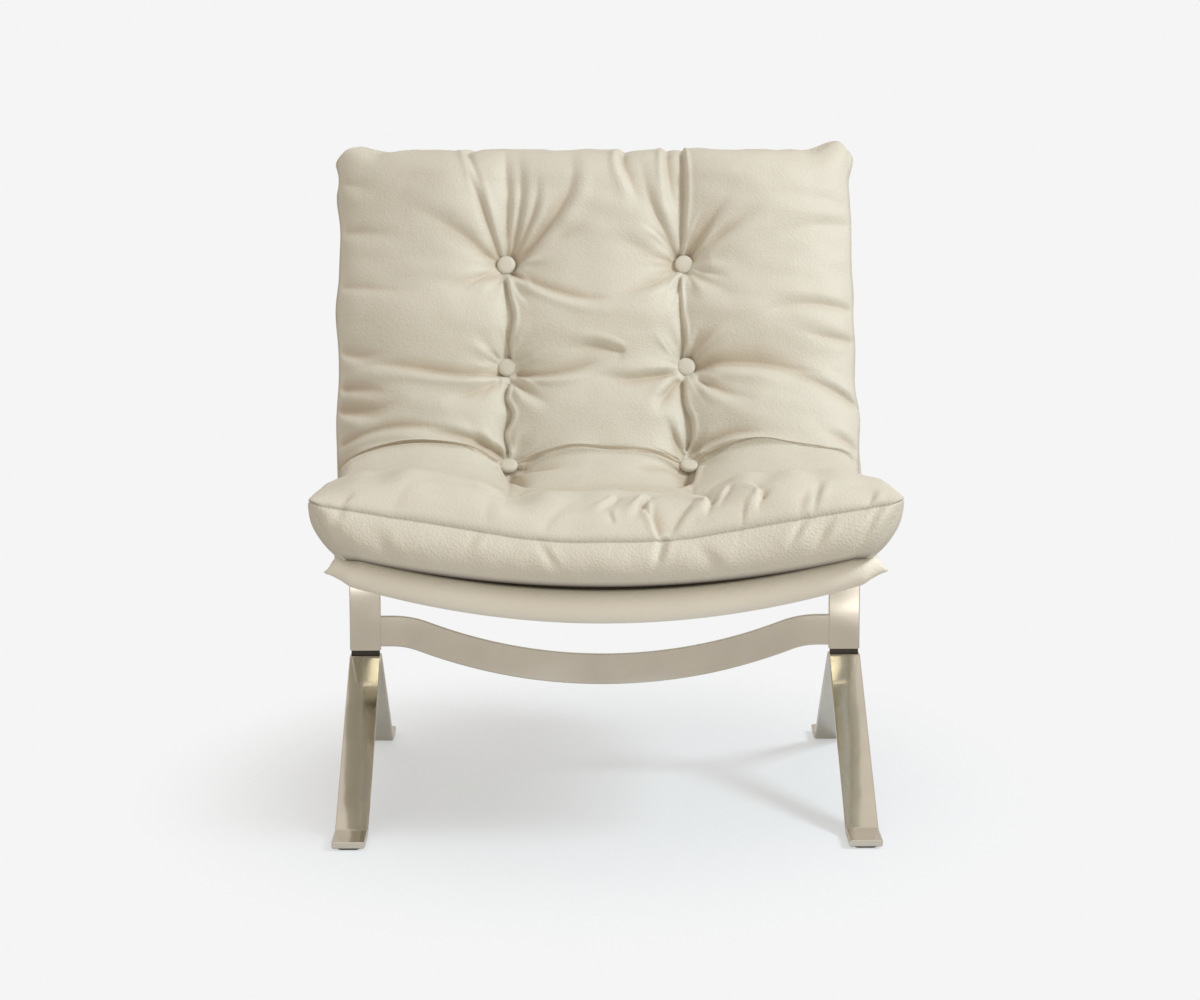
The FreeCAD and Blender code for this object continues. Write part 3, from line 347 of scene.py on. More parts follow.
# Folds of the rear of the seat, laid out the same way, with points (x, run) in millimetres
SEAT_FOLDS = (
    (7.0, 7.0, 2.0, False, ((-345, 478), (-310, 484), (-270, 489), (-225, 492))),
    (6.0, 7.0, 1.0, False, ((-338, 455), (-315, 468), (-280, 474), (-235, 473))),
    (6.0, 7.0, 1.5, False, ((345, 480), (315, 488), (275, 492), (220, 495))),
    (15.0, 7.0, 2.0, False, ((-122, 488), (-116, 470), (-104, 446), (-84, 410))),
    (7.0, 9.0, 0.0, False, ((100, 490), (82, 478), (54, 464), (16, 450))),
    (7.0, 9.0, 0.0, False, ((-100, 490), (-82, 478), (-54, 466), (-16, 458))),
    (15.0, 7.0, -2.0, False, ((122, 488), (117, 470), (108, 446), (90, 410))),
    (6.0, 8.0, 0.0, True, ((-120, 352), (-117, 300), (-122, 250), (-120, 202))),
    (6.0, 8.0, 0.0, True, ((120, 352), (123, 300), (118, 250), (120, 202))),
    (5.0, 10.0, 0.0, True, ((-120, 352), (-60, 340), (0, 336), (60, 341), (120, 352))),
    (5.0, 10.0, 0.0, True, ((-120, 202), (-60, 190), (0, 187), (60, 191), (120, 202))),
    (5.0, 10.0, 0.0, False, ((-120, 352), (-190, 345), (-270, 350), (-338, 340))),
    (5.0, 10.0, 0.0, False, ((120, 352), (190, 346), (270, 352), (338, 344))),
    (5.0, 10.0, 0.0, False, ((-120, 202), (-190, 195), (-270, 200), (-338, 190))),
    (5.0, 10.0, 0.0, False, ((120, 202), (190, 196), (270, 202), (338, 194))),
)
# Gathers of the front crown, laid out as the seat's folds
FRONT_GATHERS = (
    (5.0, 5.0, 1.0, False, ((14, 85), (6, 60), (-3, 38), (-6, 22))),
    (3.0, 4.0, 0.5, False, ((7, 20), (3, 32), (1, 46))),
    (7.0, 5.5, 2.0, False, ((54, 92), (44, 52), (34, 22), (30, 8))),
    (4.0, 4.0, 1.0, False, ((49, 32), (44, 58), (43, 86))),
    (8.0, 5.0, -2.0, False, ((63, 1), (59, 16), (56, 32), (58, 62))),
    (5.0, 8.0, 1.5, False, ((76, 6), (97, 45), (113, 92))),
    (6.0, 6.0, 1.5, False, ((127, 42), (123, 26), (118, 8))),
    (6.0, 6.0, -1.5, False, ((127, 42), (120, 64), (112, 92))),
    (4.0, 5.0, 1.0, False, ((148, 56), (136, 26), (130, 10))),
    (4.5, 4.0, 1.0, False, ((158, 1), (161, 12), (164, 26))),
    (6.0, 5.0, 1.5, False, ((186, 26), (181, 14), (177, 2))),
    (5.0, 5.0, -1.0, False, ((186, 26), (180, 42), (168, 60))),
    (4.5, 6.0, 1.0, False, ((224, 1), (232, 14), (238, 32))),
    (5.0, 6.0, 1.0, False, ((243, 4), (249, 24), (254, 52))),
    (4.5, 5.0, 1.0, False, ((306, 1), (312, 12), (313, 26))),
    (3.0, 11.0, 0.0, False, ((-71, 14), (-52, 46), (-40, 80))),
    (3.0, 13.0, 0.0, False, ((-144, 3), (-137, 50), (-130, 95))),
    (2.5, 12.0, 0.0, False, ((-252, 4), (-236, 36), (-222, 70))),
    (4.0, 5.0, 1.0, False, ((-314, 1), (-306, 10), (-296, 24))),
)
# Creases of the front boxing: x and lean in millimetres, the share of its height at the
# middle, half their height, depth and width
BOXING_FOLDS = (
    (-314, 6, 0.86, 0.16, 3.0, 6.0), (-262, -8, 0.45, 0.30, 2.0, 12.0), (-158, 7, 0.78, 0.22, 2.4, 7.0),
    (-71, -8, 0.70, 0.24, 3.0, 7.0), (-18, 10, 0.40, 0.30, 1.8, 14.0), (63, 5, 0.80, 0.28, 5.5, 6.0),
    (118, -8, 0.55, 0.24, 2.2, 9.0), (224, 9, 0.78, 0.22, 3.4, 6.0), (252, 9, 0.62, 0.24, 3.2, 7.0),
    (306, 12, 0.60, 0.34, 4.0, 7.0), (332, 8, 0.45, 0.30, 3.0, 6.0), (-336, -6, 0.45, 0.34, 3.0, 7.0),
)
# Thin wrinkles round the back's buttons: how many there are round a button of each row, where
# they start, the ranges of their lengths, bends, depths and widths, and their lips' share of
# the depth
FINE_COUNTS = ((CREASE_ROW, 7), (LOW_ROW, 13), (HIGH_ROW, 15))
FINE_START = 0.017
FINE_LENGTHS = (0.035, 0.085)
FINE_BENDS = (-0.35, 0.35)
FINE_DEPTHS = (0.0008, 0.0022)
FINE_WIDTHS = (0.0024, 0.0042)
FINE_LIP = 0.4
# Cross-section of a fold, in shares of its width: its steep side, its easing side and its lip
STEEP_SIDE = 0.75
EASING_SIDE = 1.5
LIP_PLACE = 1.7
LIP_WIDTH = 0.85
LIP_SHARE = 0.12
# Width of a fold at its start, and how much it widens where it is held or runs out; and the
# share of its length at which an open fold starts to fade
FOLD_START_WIDTH = 0.8
HELD_WIDENING = 0.5
OPEN_WIDENING = 0.7
OPEN_FADE_START = 0.3


def camera_place():
    """Where the photograph was taken from, with its turn."""
    turn = Matrix.Rotation(-radians(CAMERA_TURN), 4, "Z")
    turn = turn @ Matrix.Rotation(radians(90 - CAMERA_DOWN), 4, "X")
    turn = turn @ Matrix.Rotation(-radians(CAMERA_ROLL), 4, "Z")
    return Matrix.Translation((CAMERA_ACROSS, TOE_LINE - CAMERA_BACK, CAMERA_UP)) @ turn


def on_back(pixels):
    """Points (x, run) of the back's upper face under those pixels of the photograph."""
    place = camera_place()
    eye = np.array(place.translation)
    _, _, angle = path(PAD_END)
    run_way = np.array((0, np.cos(angle), np.sin(angle)))
    out_way = np.array((0, -np.sin(angle), np.cos(angle)))
    start = spots(BACK_START, 0, BACK_FACE_LIFT)
    points = []
    for across, down in pixels:
        right, up = across - PHOTO_SIZE[0] / 2, PHOTO_SIZE[1] / 2 - down
        ray = np.array(place.to_3x3() @ Vector((right / PHOTO_FOCUS, up / PHOTO_FOCUS, -1)))
        hit = eye + ray * (np.dot(start - eye, out_way) / np.dot(ray, out_way))
        run = run_of(BACK_START + float(np.dot(hit - start, run_way)))
        points.append((hit[0] + float(lean_at(run)), run))
    return np.array(points)


def fine_folds():
    """Thin wrinkles that run out from the back's buttons, uneven in length and spacing."""
    rng = np.random.default_rng(7)
    folds = []
    for row, count in FINE_COUNTS:
        for sign in (-1, 1):
            for i in range(count):
                turn = 2 * pi * (i + rng.uniform(0.1, 0.9)) / count
                length, bend = rng.uniform(*FINE_LENGTHS), rng.uniform(*FINE_BENDS)
                depth, width = rng.uniform(*FINE_DEPTHS), rng.uniform(*FINE_WIDTHS)
                if row == CREASE_ROW:
                    turn = pi * (i + rng.uniform(0.1, 0.9)) / count
                steps = np.linspace(FINE_START, length, 4)
                turns = turn + bend * steps / length
                xs = sign * BUTTON_COLUMN + steps * np.cos(turns)
                points = np.stack([xs, row + steps * np.sin(turns)], -1)
                folds.append((points, depth, width, FINE_LIP * depth * rng.choice((-1, 1)), False))
    return folds


def all_folds():
    """Every fold of the upper face, in metres: points, depth, width, lip and whether it is held."""
    folds = fine_folds()
    for depth, width, lip, held, pixels in BACK_FOLDS:
        deep, raised = FOLD_DEPTH * depth / 1000, FOLD_DEPTH * lip / 1000
        folds.append((on_back(pixels), deep, width / 1000, raised, held))
    for depth, width, lip, held, points in SEAT_FOLDS + FRONT_GATHERS:
        folds.append((np.array(points) / 1000, depth / 1000, width / 1000, lip / 1000, held))
    return folds


def smooth_line(points, pieces=6):
    """More points on a smooth curve through the given ones."""
    count = len(points)
    curves = [curve_through(np.arange(count), points[:, axis]) for axis in (0, 1)]
    steps = np.linspace(0, count - 1, (count - 1) * pieces + 1)
    return np.stack([curve(steps) for curve in curves], -1)


def beside(line, x, run):
    """How far points are to the left of a line and past its ends, and at what share of it."""
    steps = np.diff(line, axis=0)
    lengths = np.hypot(steps[:, 0], steps[:, 1])
    walked = 0.0
    near, share = np.full_like(x, np.inf), np.zeros_like(x)
    aside, beyond = np.zeros_like(x), np.zeros_like(x)
    for i, (start, step, length) in enumerate(zip(line, steps, lengths)):
        dx, dy = x - start[0], run - start[1]
        t = (dx * step[0] + dy * step[1]) / length ** 2
        held_t = np.clip(t, 0, 1)
        away = np.hypot(dx - step[0] * held_t, dy - step[1] * held_t)
        across = (step[0] * dy - step[1] * dx) / length
        over = np.zeros_like(x)
        if i == 0:
            over = np.maximum(-t, 0) * length
        if i == len(steps) - 1:
            over = np.maximum(t - 1, 0) * length
        closer = away < near
        near = np.where(closer, away, near)
        aside = np.where(closer, np.where(over > 0, across, np.sign(across) * away), aside)
        beyond = np.where(closer, over, beyond)
        share = np.where(closer, (walked + held_t * length) / lengths.sum(), share)
        walked += length
    return aside, beyond, share


def pressed_in(x, run, folds):
    """How deep the folds press the leather in: steep beside a lip, easing out opposite it."""
    drop = np.zeros_like(x)
    for points, depth, width, lip, held in folds:
        line = smooth_line(points)
        low, high = line.min(0) - 6 * width, line.max(0) + 6 * width
        near_it = np.flatnonzero((x > low[0]) & (x < high[0]) & (run > low[1]) & (run < high[1]))
        if not len(near_it):
            continue
        aside, beyond, share = beside(line, x[near_it], run[near_it])
        fade = np.ones_like(share) if held else 1 - smooth(share, OPEN_FADE_START, 1.0)
        fade = fade * bump(beyond, 0, width)
        widening = HELD_WIDENING * np.sin(pi * share) if held else OPEN_WIDENING * share
        wide = width * (FOLD_START_WIDTH + widening)
        scaled = aside / wide * (1 if lip >= 0 else -1)
        groove = bump(np.minimum(scaled, 0), 0, STEEP_SIDE) * np.exp(-np.maximum(scaled, 0) / EASING_SIDE)
        raised = (LIP_SHARE * depth + abs(lip)) * bump(scaled, -LIP_PLACE, LIP_WIDTH)
        drop[near_it] += fade * (depth * groove - raised)
    return drop


# Funnels under the buttons: a wide soft one and a narrow steep one beyond the button's flat,
# and a cone that no leather stands above
BUTTON_SINK = 0.0005
BUTTON_FLAT = 0.010
WIDE_FUNNEL = 0.030
WIDE_SHARE = 0.6
WIDE_POWER = 1.5
NARROW_FUNNEL = 0.009
CONE_SLOPE = 0.75
CONE_EASE = 0.012
CALM_START = 0.014
CALM_END = 0.040


def dimples(x, run, lift):
    """How far the buttons pull the upper face down, in wide funnels, and how near one is."""
    pull, near = np.zeros_like(x), np.zeros_like(x)
    for (place, height), row in zip(SEAT_ROWS + CREASE_ROWS + BACK_ROWS, ROW_RUNS):
        for sign in (-1, 1):
            centre, seat = sign * BUTTON_COLUMN, height - BUTTON_SINK
            away = np.hypot(x - centre, run - row)
            beyond = np.maximum(away - BUTTON_FLAT, 0)
            need = upper_lift(np.array([centre]), np.array([row]))[0] - seat
            shape = WIDE_SHARE * np.exp(-((away / WIDE_FUNNEL) ** WIDE_POWER))
            shape = shape + (1 - WIDE_SHARE) * bump(beyond, 0, NARROW_FUNNEL)
            pull = np.maximum(pull, need * shape)
            over = np.maximum(lift - seat - CONE_SLOPE * beyond, 0)
            eased = np.where(over > CONE_EASE, over - CONE_EASE / 2, over ** 2 / (2 * CONE_EASE))
            pull = np.maximum(pull, eased)
            near = np.maximum(near, 1 - smooth(away, CALM_START, CALM_END))
    return pull, near


PUCKER_HEIGHT = 0.0011
PUCKER_PLACE = 0.034
PUCKER_REACH = 0.022


def puckers(x, run):
    """Small puckers that radiate from the buttons."""
    wave = np.zeros_like(x)
    for i, row in enumerate(ROW_RUNS):
        for sign in (-1, 1):
            dx, dy = x - sign * BUTTON_COLUMN, run - row
            away, turn = np.hypot(dx, dy), np.arctan2(dy, dx)
            spokes = np.sin(8 * turn + 2.1 * i + sign) + 0.6 * np.sin(13 * turn + 1.3 * i - sign)
            wave += PUCKER_HEIGHT * spokes * bump(away, PUCKER_PLACE, PUCKER_REACH)
    return wave


def soft_noise(x, y, scale, seed, sheets=9):
    """Smooth uneven waves from a few turned sine sheets."""
    rng = np.random.default_rng(seed)
    total = np.zeros_like(x)
    for _ in range(sheets):
        angle, phase, size = rng.uniform(0, pi), rng.uniform(0, 2 * pi), scale * rng.uniform(0.6, 1.7)
        bend = 0.9 * np.sin((x * sin(angle) - y * cos(angle)) / size * 0.6 + phase * 1.7)
        total += np.sin((x * cos(angle) + y * sin(angle)) / size * 2 + phase + bend)
    return total / sheets


# Mesh of the pad: its rows and columns, the rows up its boxing, and how these crowd to the seam
SEAT_MESH_ROWS = 201
CREASE_MESH_ROWS = 13
BACK_MESH_ROWS = 231
MESH_COLUMNS = 360
BOXING_MESH_ROWS = 20
SEAM_CROWDING = 1.25


def run_rows():
    """Runs of the pad's cross rows: even on the flats, closer in the crease."""
    seat = np.linspace(0, SEAT_TOP_RUN, SEAT_MESH_ROWS)
    bend = np.linspace(SEAT_TOP_RUN, BACK_TOP_START, CREASE_MESH_ROWS)
    back = np.linspace(BACK_TOP_START, TOP_RUN, BACK_MESH_ROWS)
    return np.concatenate([seat, bend[1:], back[1:]])


def pad_grid(runs):
    """Closed body of even squares, still flat: upper face, boxing and underside."""
    bm = bmesh.new()
    bmesh.ops.create_grid(bm, x_segments=MESH_COLUMNS, y_segments=len(runs) - 1, size=1)
    lifted = bmesh.ops.extrude_face_region(bm, geom=bm.faces[:], use_keep_orig=True)
    top = [v for v in lifted["geom"] if isinstance(v, bmesh.types.BMVert)]
    bmesh.ops.translate(bm, verts=top, vec=(0, 0, 1))
    divide_upright(bm, BOXING_MESH_ROWS)
    bmesh.ops.recalc_face_normals(bm, faces=bm.faces[:])
    return bm


def divide_upright(bm, rows):
    """Divides a body's upright edges, and the faces between them, into that many rows."""
    upright = [e for e in bm.edges if abs(e.verts[0].co.z - e.verts[1].co.z) > 0.5]
    bmesh.ops.subdivide_edges(bm, edges=upright, cuts=rows - 1, use_grid_fill=True)


def index_of(share, count):
    """Which of that many even steps from -1 to 1 a share is at."""
    return np.clip(np.rint((share + 1) / 2 * (count - 1)).astype(int), 0, count - 1)


class PadPlaces:
    """Where the points of the pad's flat body are: across it, along it and up its boxing."""

    def __init__(self, flat, runs):
        self.u = flat[:, 0]
        self.level = 1 - (1 - flat[:, 2]) ** SEAM_CROWDING
        self.run = runs[index_of(flat[:, 1], len(runs))]
        self.side = np.abs(self.u) > 0.9999
        self.front = self.run < 1e-6
        self.on_wall = self.side | self.front | (self.run > TOP_RUN - 1e-6)
        self.on_back = smooth(self.run, CREASE_TOP - 0.02, CREASE_TOP + 0.06)
        self.edge = (1 - np.abs(self.u)) * HALF_WIDTH(self.run)
        self.ahead = TOP_RUN - self.run
        self.rim = np.minimum(self.edge, np.minimum(self.run, self.ahead))


# Corners of the pad from above: the rounds at its top, and at its front by the seam, with how
# much wider they grow to the bottom
TOP_CORNER = 0.024
FRONT_CORNER = 0.018
FRONT_CORNER_GROWTH = 0.030
# Waver of the side seams on the seat, how much more there is on the back, and its length
SEAT_WAVER = 0.0014
BACK_WAVER = 0.0042
WAVER_LENGTH = 0.028
# Hills and hollows beside the top corners, as (height, place, reach) from the top edge
CORNER_PUFF = (0.005, 0.014, 0.016)
CORNER_WAIST = (0.002, 0.044, 0.014)
# The same along the top edge, from the side, with the heights of the left and right ears
EARS = (1, 0.018, 0.024)
EAR_HEIGHTS = (0.007, 0.015)
EAR_WAIST = (0.004, 0.056, 0.018)
SCALLOP_HEIGHT = 0.0040
SCALLOP_LENGTH = 0.040
SCALLOP_FOLDS = 0.8
TOP_EDGE_REACH = 0.05
# Uneven swell of the filling: height, length of its waves, how closely they follow along the
# pad, seed, and the run at its middle with its reach where it lies in one place
SWELLS = (
    (0.0040, 0.050, 1.0, 3, None, None),
    (0.0016, 0.021, 1.6, 8, None, None),
    (0.0090, 0.028, 0.35, 33, 0.085, 0.06),
    (0.0120, 0.055, 0.3, 41, CREASE_TOP, 0.045),
    (0.0004, 0.009, 1.0, 21, None, None),
)
# The boxing: how far it swells out, how much less that is on the back, and its small waves
BOXING_SWELL = 0.015
BACK_BOXING_LESS = 0.007
BOXING_WAVES = 0.0024
# The seam round the seat: its groove in the upper face, and its neck up the boxing
SEAM_GROOVE = (0.0016, 0.0, 0.0016)
SEAM_NECK = (0.0020, 0.975, 0.010)
# From the seams inwards, where the small relief and the folds of the upper face set in, with
# the relief that is left at its front and top edges, and how near the top edge folds go
RELIEF_FADE = (0.0, 0.016)
END_RELIEF = 0.006
FOLD_FADE = (-0.004, 0.012)
TOP_FADE = (-0.012, 0.010)
# Marks of the leather, as (strength, place, reach): the seam's dark line up the boxing and on the upper
# face, then the shade painted into the crease, beside the crease buttons and between them
BOXING_LINE = (0.5, 0.985, 0.014)
UPPER_LINE = (0.5, 0.0, 0.0018)
CREASE_PAINTED_SHADE = (1, CREASE_TOP + 0.006, 0.011)
BUTTON_PAINTED_SHADE = (0.7, BUTTON_COLUMN - 0.010, 0.016)
BUTTON_PAINTED_SHADE_RUNS = (0.40, 0.46)
MIDDLE_PAINTED_SHADE = (0.4, 0.375, 0.040)
MIDDLE_PAINTED_SHADE_ENDS = (0.10, 0.16)
# The back's side seams show less and the painted crease shade less to the right, and shade is painted into
# folds once they are deep; then come the painted shade under the front boxing and the strength of the
# pebbles
SIDE_LINE_LOSS = 0.4
SIDE_LINE_WIDTH = 0.004
CREASE_SHADE = 0.75
CREASE_SHADE_SLOPE = 0.25
CREASE_SHADE_ENDS = (0.14, 0.2)
FOLD_PAINTED_SHADE_START = 0.003
FOLD_PAINTED_SHADE_DEPTH = 0.005
UNDER_SHADE_ENDS = (0.03, 0.08)
BOXING_GRAIN = 1.5
UPPER_GRAIN = 0.8


def rounded_corner(aside, ahead, radius):
    """Draws the points near a square corner into a round one of that radius."""
    p, q = np.clip(1 - aside / radius, 0, 1), np.clip(1 - ahead / radius, 0, 1)
    both = (p > 0) & (q > 0)
    new_aside = np.where(both, radius * (1 - p * np.sqrt(1 - q ** 2 / 2)), aside)
    new_ahead = np.where(both, radius * (1 - q * np.sqrt(1 - p ** 2 / 2)), ahead)
    return new_aside, new_ahead


def corner_ways(edge, end, radius):
    """Which way a wall faces at and near a rounded corner: its shares across and along the chair."""
    across, along = np.clip(1 - edge / radius, 0, 1), np.clip(1 - end / radius, 0, 1)
    return across * np.sqrt(1 - along ** 2 / 2), along * np.sqrt(1 - across ** 2 / 2)


def uneven_swell(x, run):
    """How unevenly the filling swells: all over, and more at the front crown and the crease."""
    total = np.zeros_like(x)
    for height, length, follow, seed, middle, reach in SWELLS:
        swell = height * soft_noise(x, run * follow, length, seed)
        total += swell if middle is None else swell * bump(run, middle, reach)
    return total


def upper_face(p, x, run):
    """Lift of the finished upper face, and how deep its folds are, before and after they fade."""
    ends = np.minimum(p.run, p.ahead) + END_RELIEF
    inside = smooth(np.minimum(p.edge, ends), *RELIEF_FADE)
    fade = smooth(p.rim, *FOLD_FADE) * smooth(p.ahead, *TOP_FADE)
    lift = upper_lift(x, run)
    pull, near = dimples(x, run, lift)
    pressed = pressed_in(x, run, all_folds())
    lift = lift - pull - pressed * fade + puckers(x, p.run) * inside
    lift = lift + uneven_swell(x, p.run) * inside * (1 - near)
    return lift - hill(p.rim, SEAM_GROOVE) * (1 - p.on_back), pressed, pressed * fade


def boxing_out(p, x):
    """How far the boxing stands out between its seams."""
    around = np.where(p.side, p.run, x)
    waves = soft_noise(around, p.level * 0.03, 0.022, 5)
    waves = waves + 0.5 * soft_noise(around, p.level * 0.05, 0.009, 6)
    swell = BOXING_SWELL - BACK_BOXING_LESS * p.on_back + BOXING_WAVES * waves
    return 4 * p.level * (1 - p.level) * swell - hill(p.level, SEAM_NECK) * (1 - p.on_back)


def boxing_pleats(x, level):
    """How far the creases dent the front boxing, each with a lip beside it."""
    dents = np.zeros_like(x)
    for at_x, sway, middle, reach, depth, width in BOXING_FOLDS:
        slant = (x - at_x / 1000 - sway / 1000 * (level - middle) / reach) / (width / 1000)
        dents += depth / 1000 * (bump(slant, 0, 1) - 0.4 * bump(slant, 1.6, 1)) * bump(level, middle, reach)
    return dents


def top_edge_rise(p, x, pressed):
    """How far the top edge stands past its line: ears at its corners, scallops at its folds."""
    ears = np.where(p.u < 0, *EAR_HEIGHTS) * hill(p.edge, EARS) - hill(p.edge, EAR_WAIST)
    scallops = SCALLOP_HEIGHT * soft_noise(x, 0, SCALLOP_LENGTH, 14)
    scallops = scallops - SCALLOP_FOLDS * np.clip(pressed, -0.004, 0.008)
    return smooth(p.run, TOP_RUN - TOP_EDGE_REACH, TOP_RUN) * p.level * (ears + scallops)


def pad_points(p):
    """Points of the shaped pad for the places p of its flat body, and the marks of its leather with its
    painted shade.
    """
    front_corner = FRONT_CORNER + FRONT_CORNER_GROWTH * (1 - p.level ** 4)
    aside, drawn = rounded_corner(p.edge, p.ahead, TOP_CORNER)
    aside, drawn_front = rounded_corner(aside, p.run, front_corner)
    run_top = np.where(p.run > CREASE_TOP, TOP_RUN - drawn, drawn_front)
    waver = (SEAT_WAVER + BACK_WAVER * p.on_back) * soft_noise(p.run, np.sign(p.u) * 2, WAVER_LENGTH, 12)
    half = HALF_WIDTH(run_top) + waver + hill(p.ahead, CORNER_PUFF) - hill(p.ahead, CORNER_WAIST)
    inward = np.sign(p.u) * (1 - aside / HALF_WIDTH(p.run))
    x_top, x_low = inward * half, inward * PAD_REST_HALF
    lift_top, pressed, drop = upper_face(p, x_top, run_top)

    along = along_of(run_top)
    sag = sling_sag(along)
    lift_low = PAD_BOTTOM - sag + hang(x_low, sag, HALF_INNER)
    lift = lift_low + (lift_top - lift_low) * p.level
    x = x_low + (x_top - x_low) * p.level
    place = along + (upper_place(run_top, lift_top) - along) * p.level
    past_crease = p.on_back > 0.5
    corner, end = np.where(past_crease, TOP_CORNER, front_corner), np.where(past_crease, p.ahead, p.run)
    way_x, way_y = corner_ways(p.edge, end, corner)
    out = np.where(p.on_wall, boxing_out(p, x), 0)
    x = x + np.sign(p.u) * out * way_x
    place = place + out * way_y * np.where(past_crease, 1, -1)
    place = place + np.where(p.front, boxing_pleats(x, p.level), 0) + top_edge_rise(p, x, pressed)
    points = spots(place, x, lift)
    points[:, 0] -= lean_at(p.run) * p.level
    return points, pad_marks(p, x, drop)


def pad_marks(p, x, drop):
    """What the pad's leather reads: its dark seams, the strength of its pebbles, and the shade painted into
    its hollows and under its front boxing.
    """
    upper, size = p.level > 0.5, np.abs(x)
    sewn = 1 - p.on_back * np.where(p.side | (p.edge < SIDE_LINE_WIDTH), SIDE_LINE_LOSS, 1.0)
    seams = np.where(p.on_wall, hill(p.level, BOXING_LINE), hill(p.rim, UPPER_LINE)) * upper * sewn
    # Shade painted along the bottom of the front boxing and the underside beside it, for the dark gap over
    # the roll
    under = np.where(p.front, 1 - smooth(p.level, *UNDER_SHADE_ENDS), 0)
    # Shade painted into the crease, beside the crease buttons, in the middle of the seat's rear and into
    # deep folds
    slope = CREASE_SHADE_SLOPE * np.sign(p.u) * smooth(size, *CREASE_SHADE_ENDS)
    painted_valley_shade = hill(p.run, CREASE_PAINTED_SHADE) * (CREASE_SHADE - slope)
    painted_button_shade = hill(size, BUTTON_PAINTED_SHADE) * smooth(p.run, *BUTTON_PAINTED_SHADE_RUNS) * (p.run < CREASE_ROW)
    middle = hill(p.run, MIDDLE_PAINTED_SHADE) * (1 - smooth(size, *MIDDLE_PAINTED_SHADE_ENDS))
    painted_valley_shade = np.maximum(painted_valley_shade, np.maximum(painted_button_shade, middle))
    folds = 1 - np.exp(-np.maximum(drop - FOLD_PAINTED_SHADE_START, 0) / FOLD_PAINTED_SHADE_DEPTH)
    return {
        "seams_and_painted_shade": np.maximum(seams, under),
        "grain": np.where(p.on_wall, BOXING_GRAIN, UPPER_GRAIN),
        "painted_hollow_shade": np.where(p.on_wall, 0, np.maximum(folds, painted_valley_shade)) * upper,
    }


def shaped_pad():
    """The whole pad as one sewn body."""
    runs = run_rows()
    bm = pad_grid(runs)
    flat = np.array([v.co[:] for v in bm.verts])
    pad = new_piece("pad", bm)
    points, marks = pad_points(PadPlaces(flat, runs))
    pad.data.vertices.foreach_set("co", points.astype(np.float32).ravel())
    for name, values in marks.items():
        layer = pad.data.attributes.new(name, "FLOAT", "POINT")
        layer.data.foreach_set("value", values.astype(np.float32))
    pad.data.update()
    return pad


def new_piece(name, bm, shade=True):
    """Object of that name with the mesh, at the origin."""
    mesh = bpy.data.meshes.new(name)
    bm.to_mesh(mesh)
    bm.free()
    for face in mesh.polygons:
        face.use_smooth = shade
    piece = bpy.data.objects.new(name, mesh)
    bpy.context.scene.collection.objects.link(piece)
    return piece


# Sling

SLING_COLUMNS = 61
SLING_START = 0.016
SLING_SHEET_THICK = 0.004
SLING_NARROWING = (0.03, 0.010, 0.030)
# The hem: where the sling turns over the top rod, how wide that turn is, and its length
HEM_START = BAR_LENGTH + 0.001
HEM_TURN = 0.011
HEM_REACH = 0.006
HEM_LENGTH = 0.060
# The front roll: how square its section is, where its tips' rings begin, and where its body ends
ROLL_SIDES = 56
ROLL_SQUARENESS = 0.92
ROLL_PLAIN_HALF = 0.27
ROLL_PLAIN_RINGS = 45
ROLL_END_RINGS = 34
ROLL_BODY = SLING_HALF - 0.014
ROLL_ALONG = 0.008
# How far its top sinks in the middle, how far its bottom hangs at the ends, and its droop
ROLL_TOP_SINK = 0.004
ROLL_END_DROP = 0.022
ROLL_DROOP = 0.047
# Its flat corners: half height, half depth at the tips and before them, and how far they slant
CORNER_HALF_HEIGHT = 0.0125
TIP_HALF_HEIGHT = 0.0025
TIP_HALF_DEPTH = 0.004
CORNER_MORE_DEPTH = 0.009
TIP_LIFT = 0.001
TIP_DROP = 0.006
TIP_SLANT = 0.008


def sheet_through(name, rows, thick):
    """Sheet with thickness through rows of points, each row as long as the others."""
    bm = bmesh.new()
    columns = len(rows[0])
    bmesh.ops.create_grid(bm, x_segments=columns - 1, y_segments=len(rows) - 1, size=1)
    for vert in bm.verts:
        row = rows[index_of(vert.co.y, len(rows))]
        vert.co = row[index_of(vert.co.x, columns)]
    piece = new_piece(name, bm)
    wall = piece.modifiers.new("thickness", "SOLIDIFY")
    wall.thickness = thick
    wall.offset = 0
    return piece


def sling_rows(x):
    """Rows of points along the sling: seat, crease and back, then over the top rod and down."""
    seat = np.linspace(SLING_START, SEAT_RUN, 30)
    crease = np.linspace(SEAT_RUN, BACK_START, 12)
    back = np.linspace(BACK_START, HEM_START, 34)
    lift = SLING_GAP + SLING_THICK / 2
    rows = []
    for along in np.concatenate([seat, crease[1:], back[1:]]):
        sag = sling_sag(np.array(along))
        across = x * (1 - hill(along, SLING_NARROWING))
        rows.append(spots(np.full_like(x, along), across, lift - sag + hang(across, sag, HALF_INNER)))
    for turn in np.linspace(0, pi, 9)[1:]:
        along = HEM_START + sin(turn) * HEM_REACH
        rows.append(spots(np.full_like(x, along), x, lift - HEM_TURN + cos(turn) * HEM_TURN))
    for drop in np.linspace(HEM_REACH, HEM_LENGTH, 8):
        rows.append(spots(np.full_like(x, HEM_START - drop), x, np.full_like(x, lift - 2 * HEM_TURN)))
    return rows


def sling_panel():
    """The sling from the front roll to its hem, with its flat width and length."""
    rows = sling_rows(np.linspace(-SLING_HALF, SLING_HALF, SLING_COLUMNS))
    middle = SLING_COLUMNS // 2
    length = sum(np.linalg.norm(b[middle] - a[middle]) for a, b in zip(rows, rows[1:]))
    width = sum(np.linalg.norm(b - a) for a, b in zip(rows[10], rows[10][1:]))
    return sheet_through("sling_sheet", rows, SLING_SHEET_THICK), (float(width), float(length))


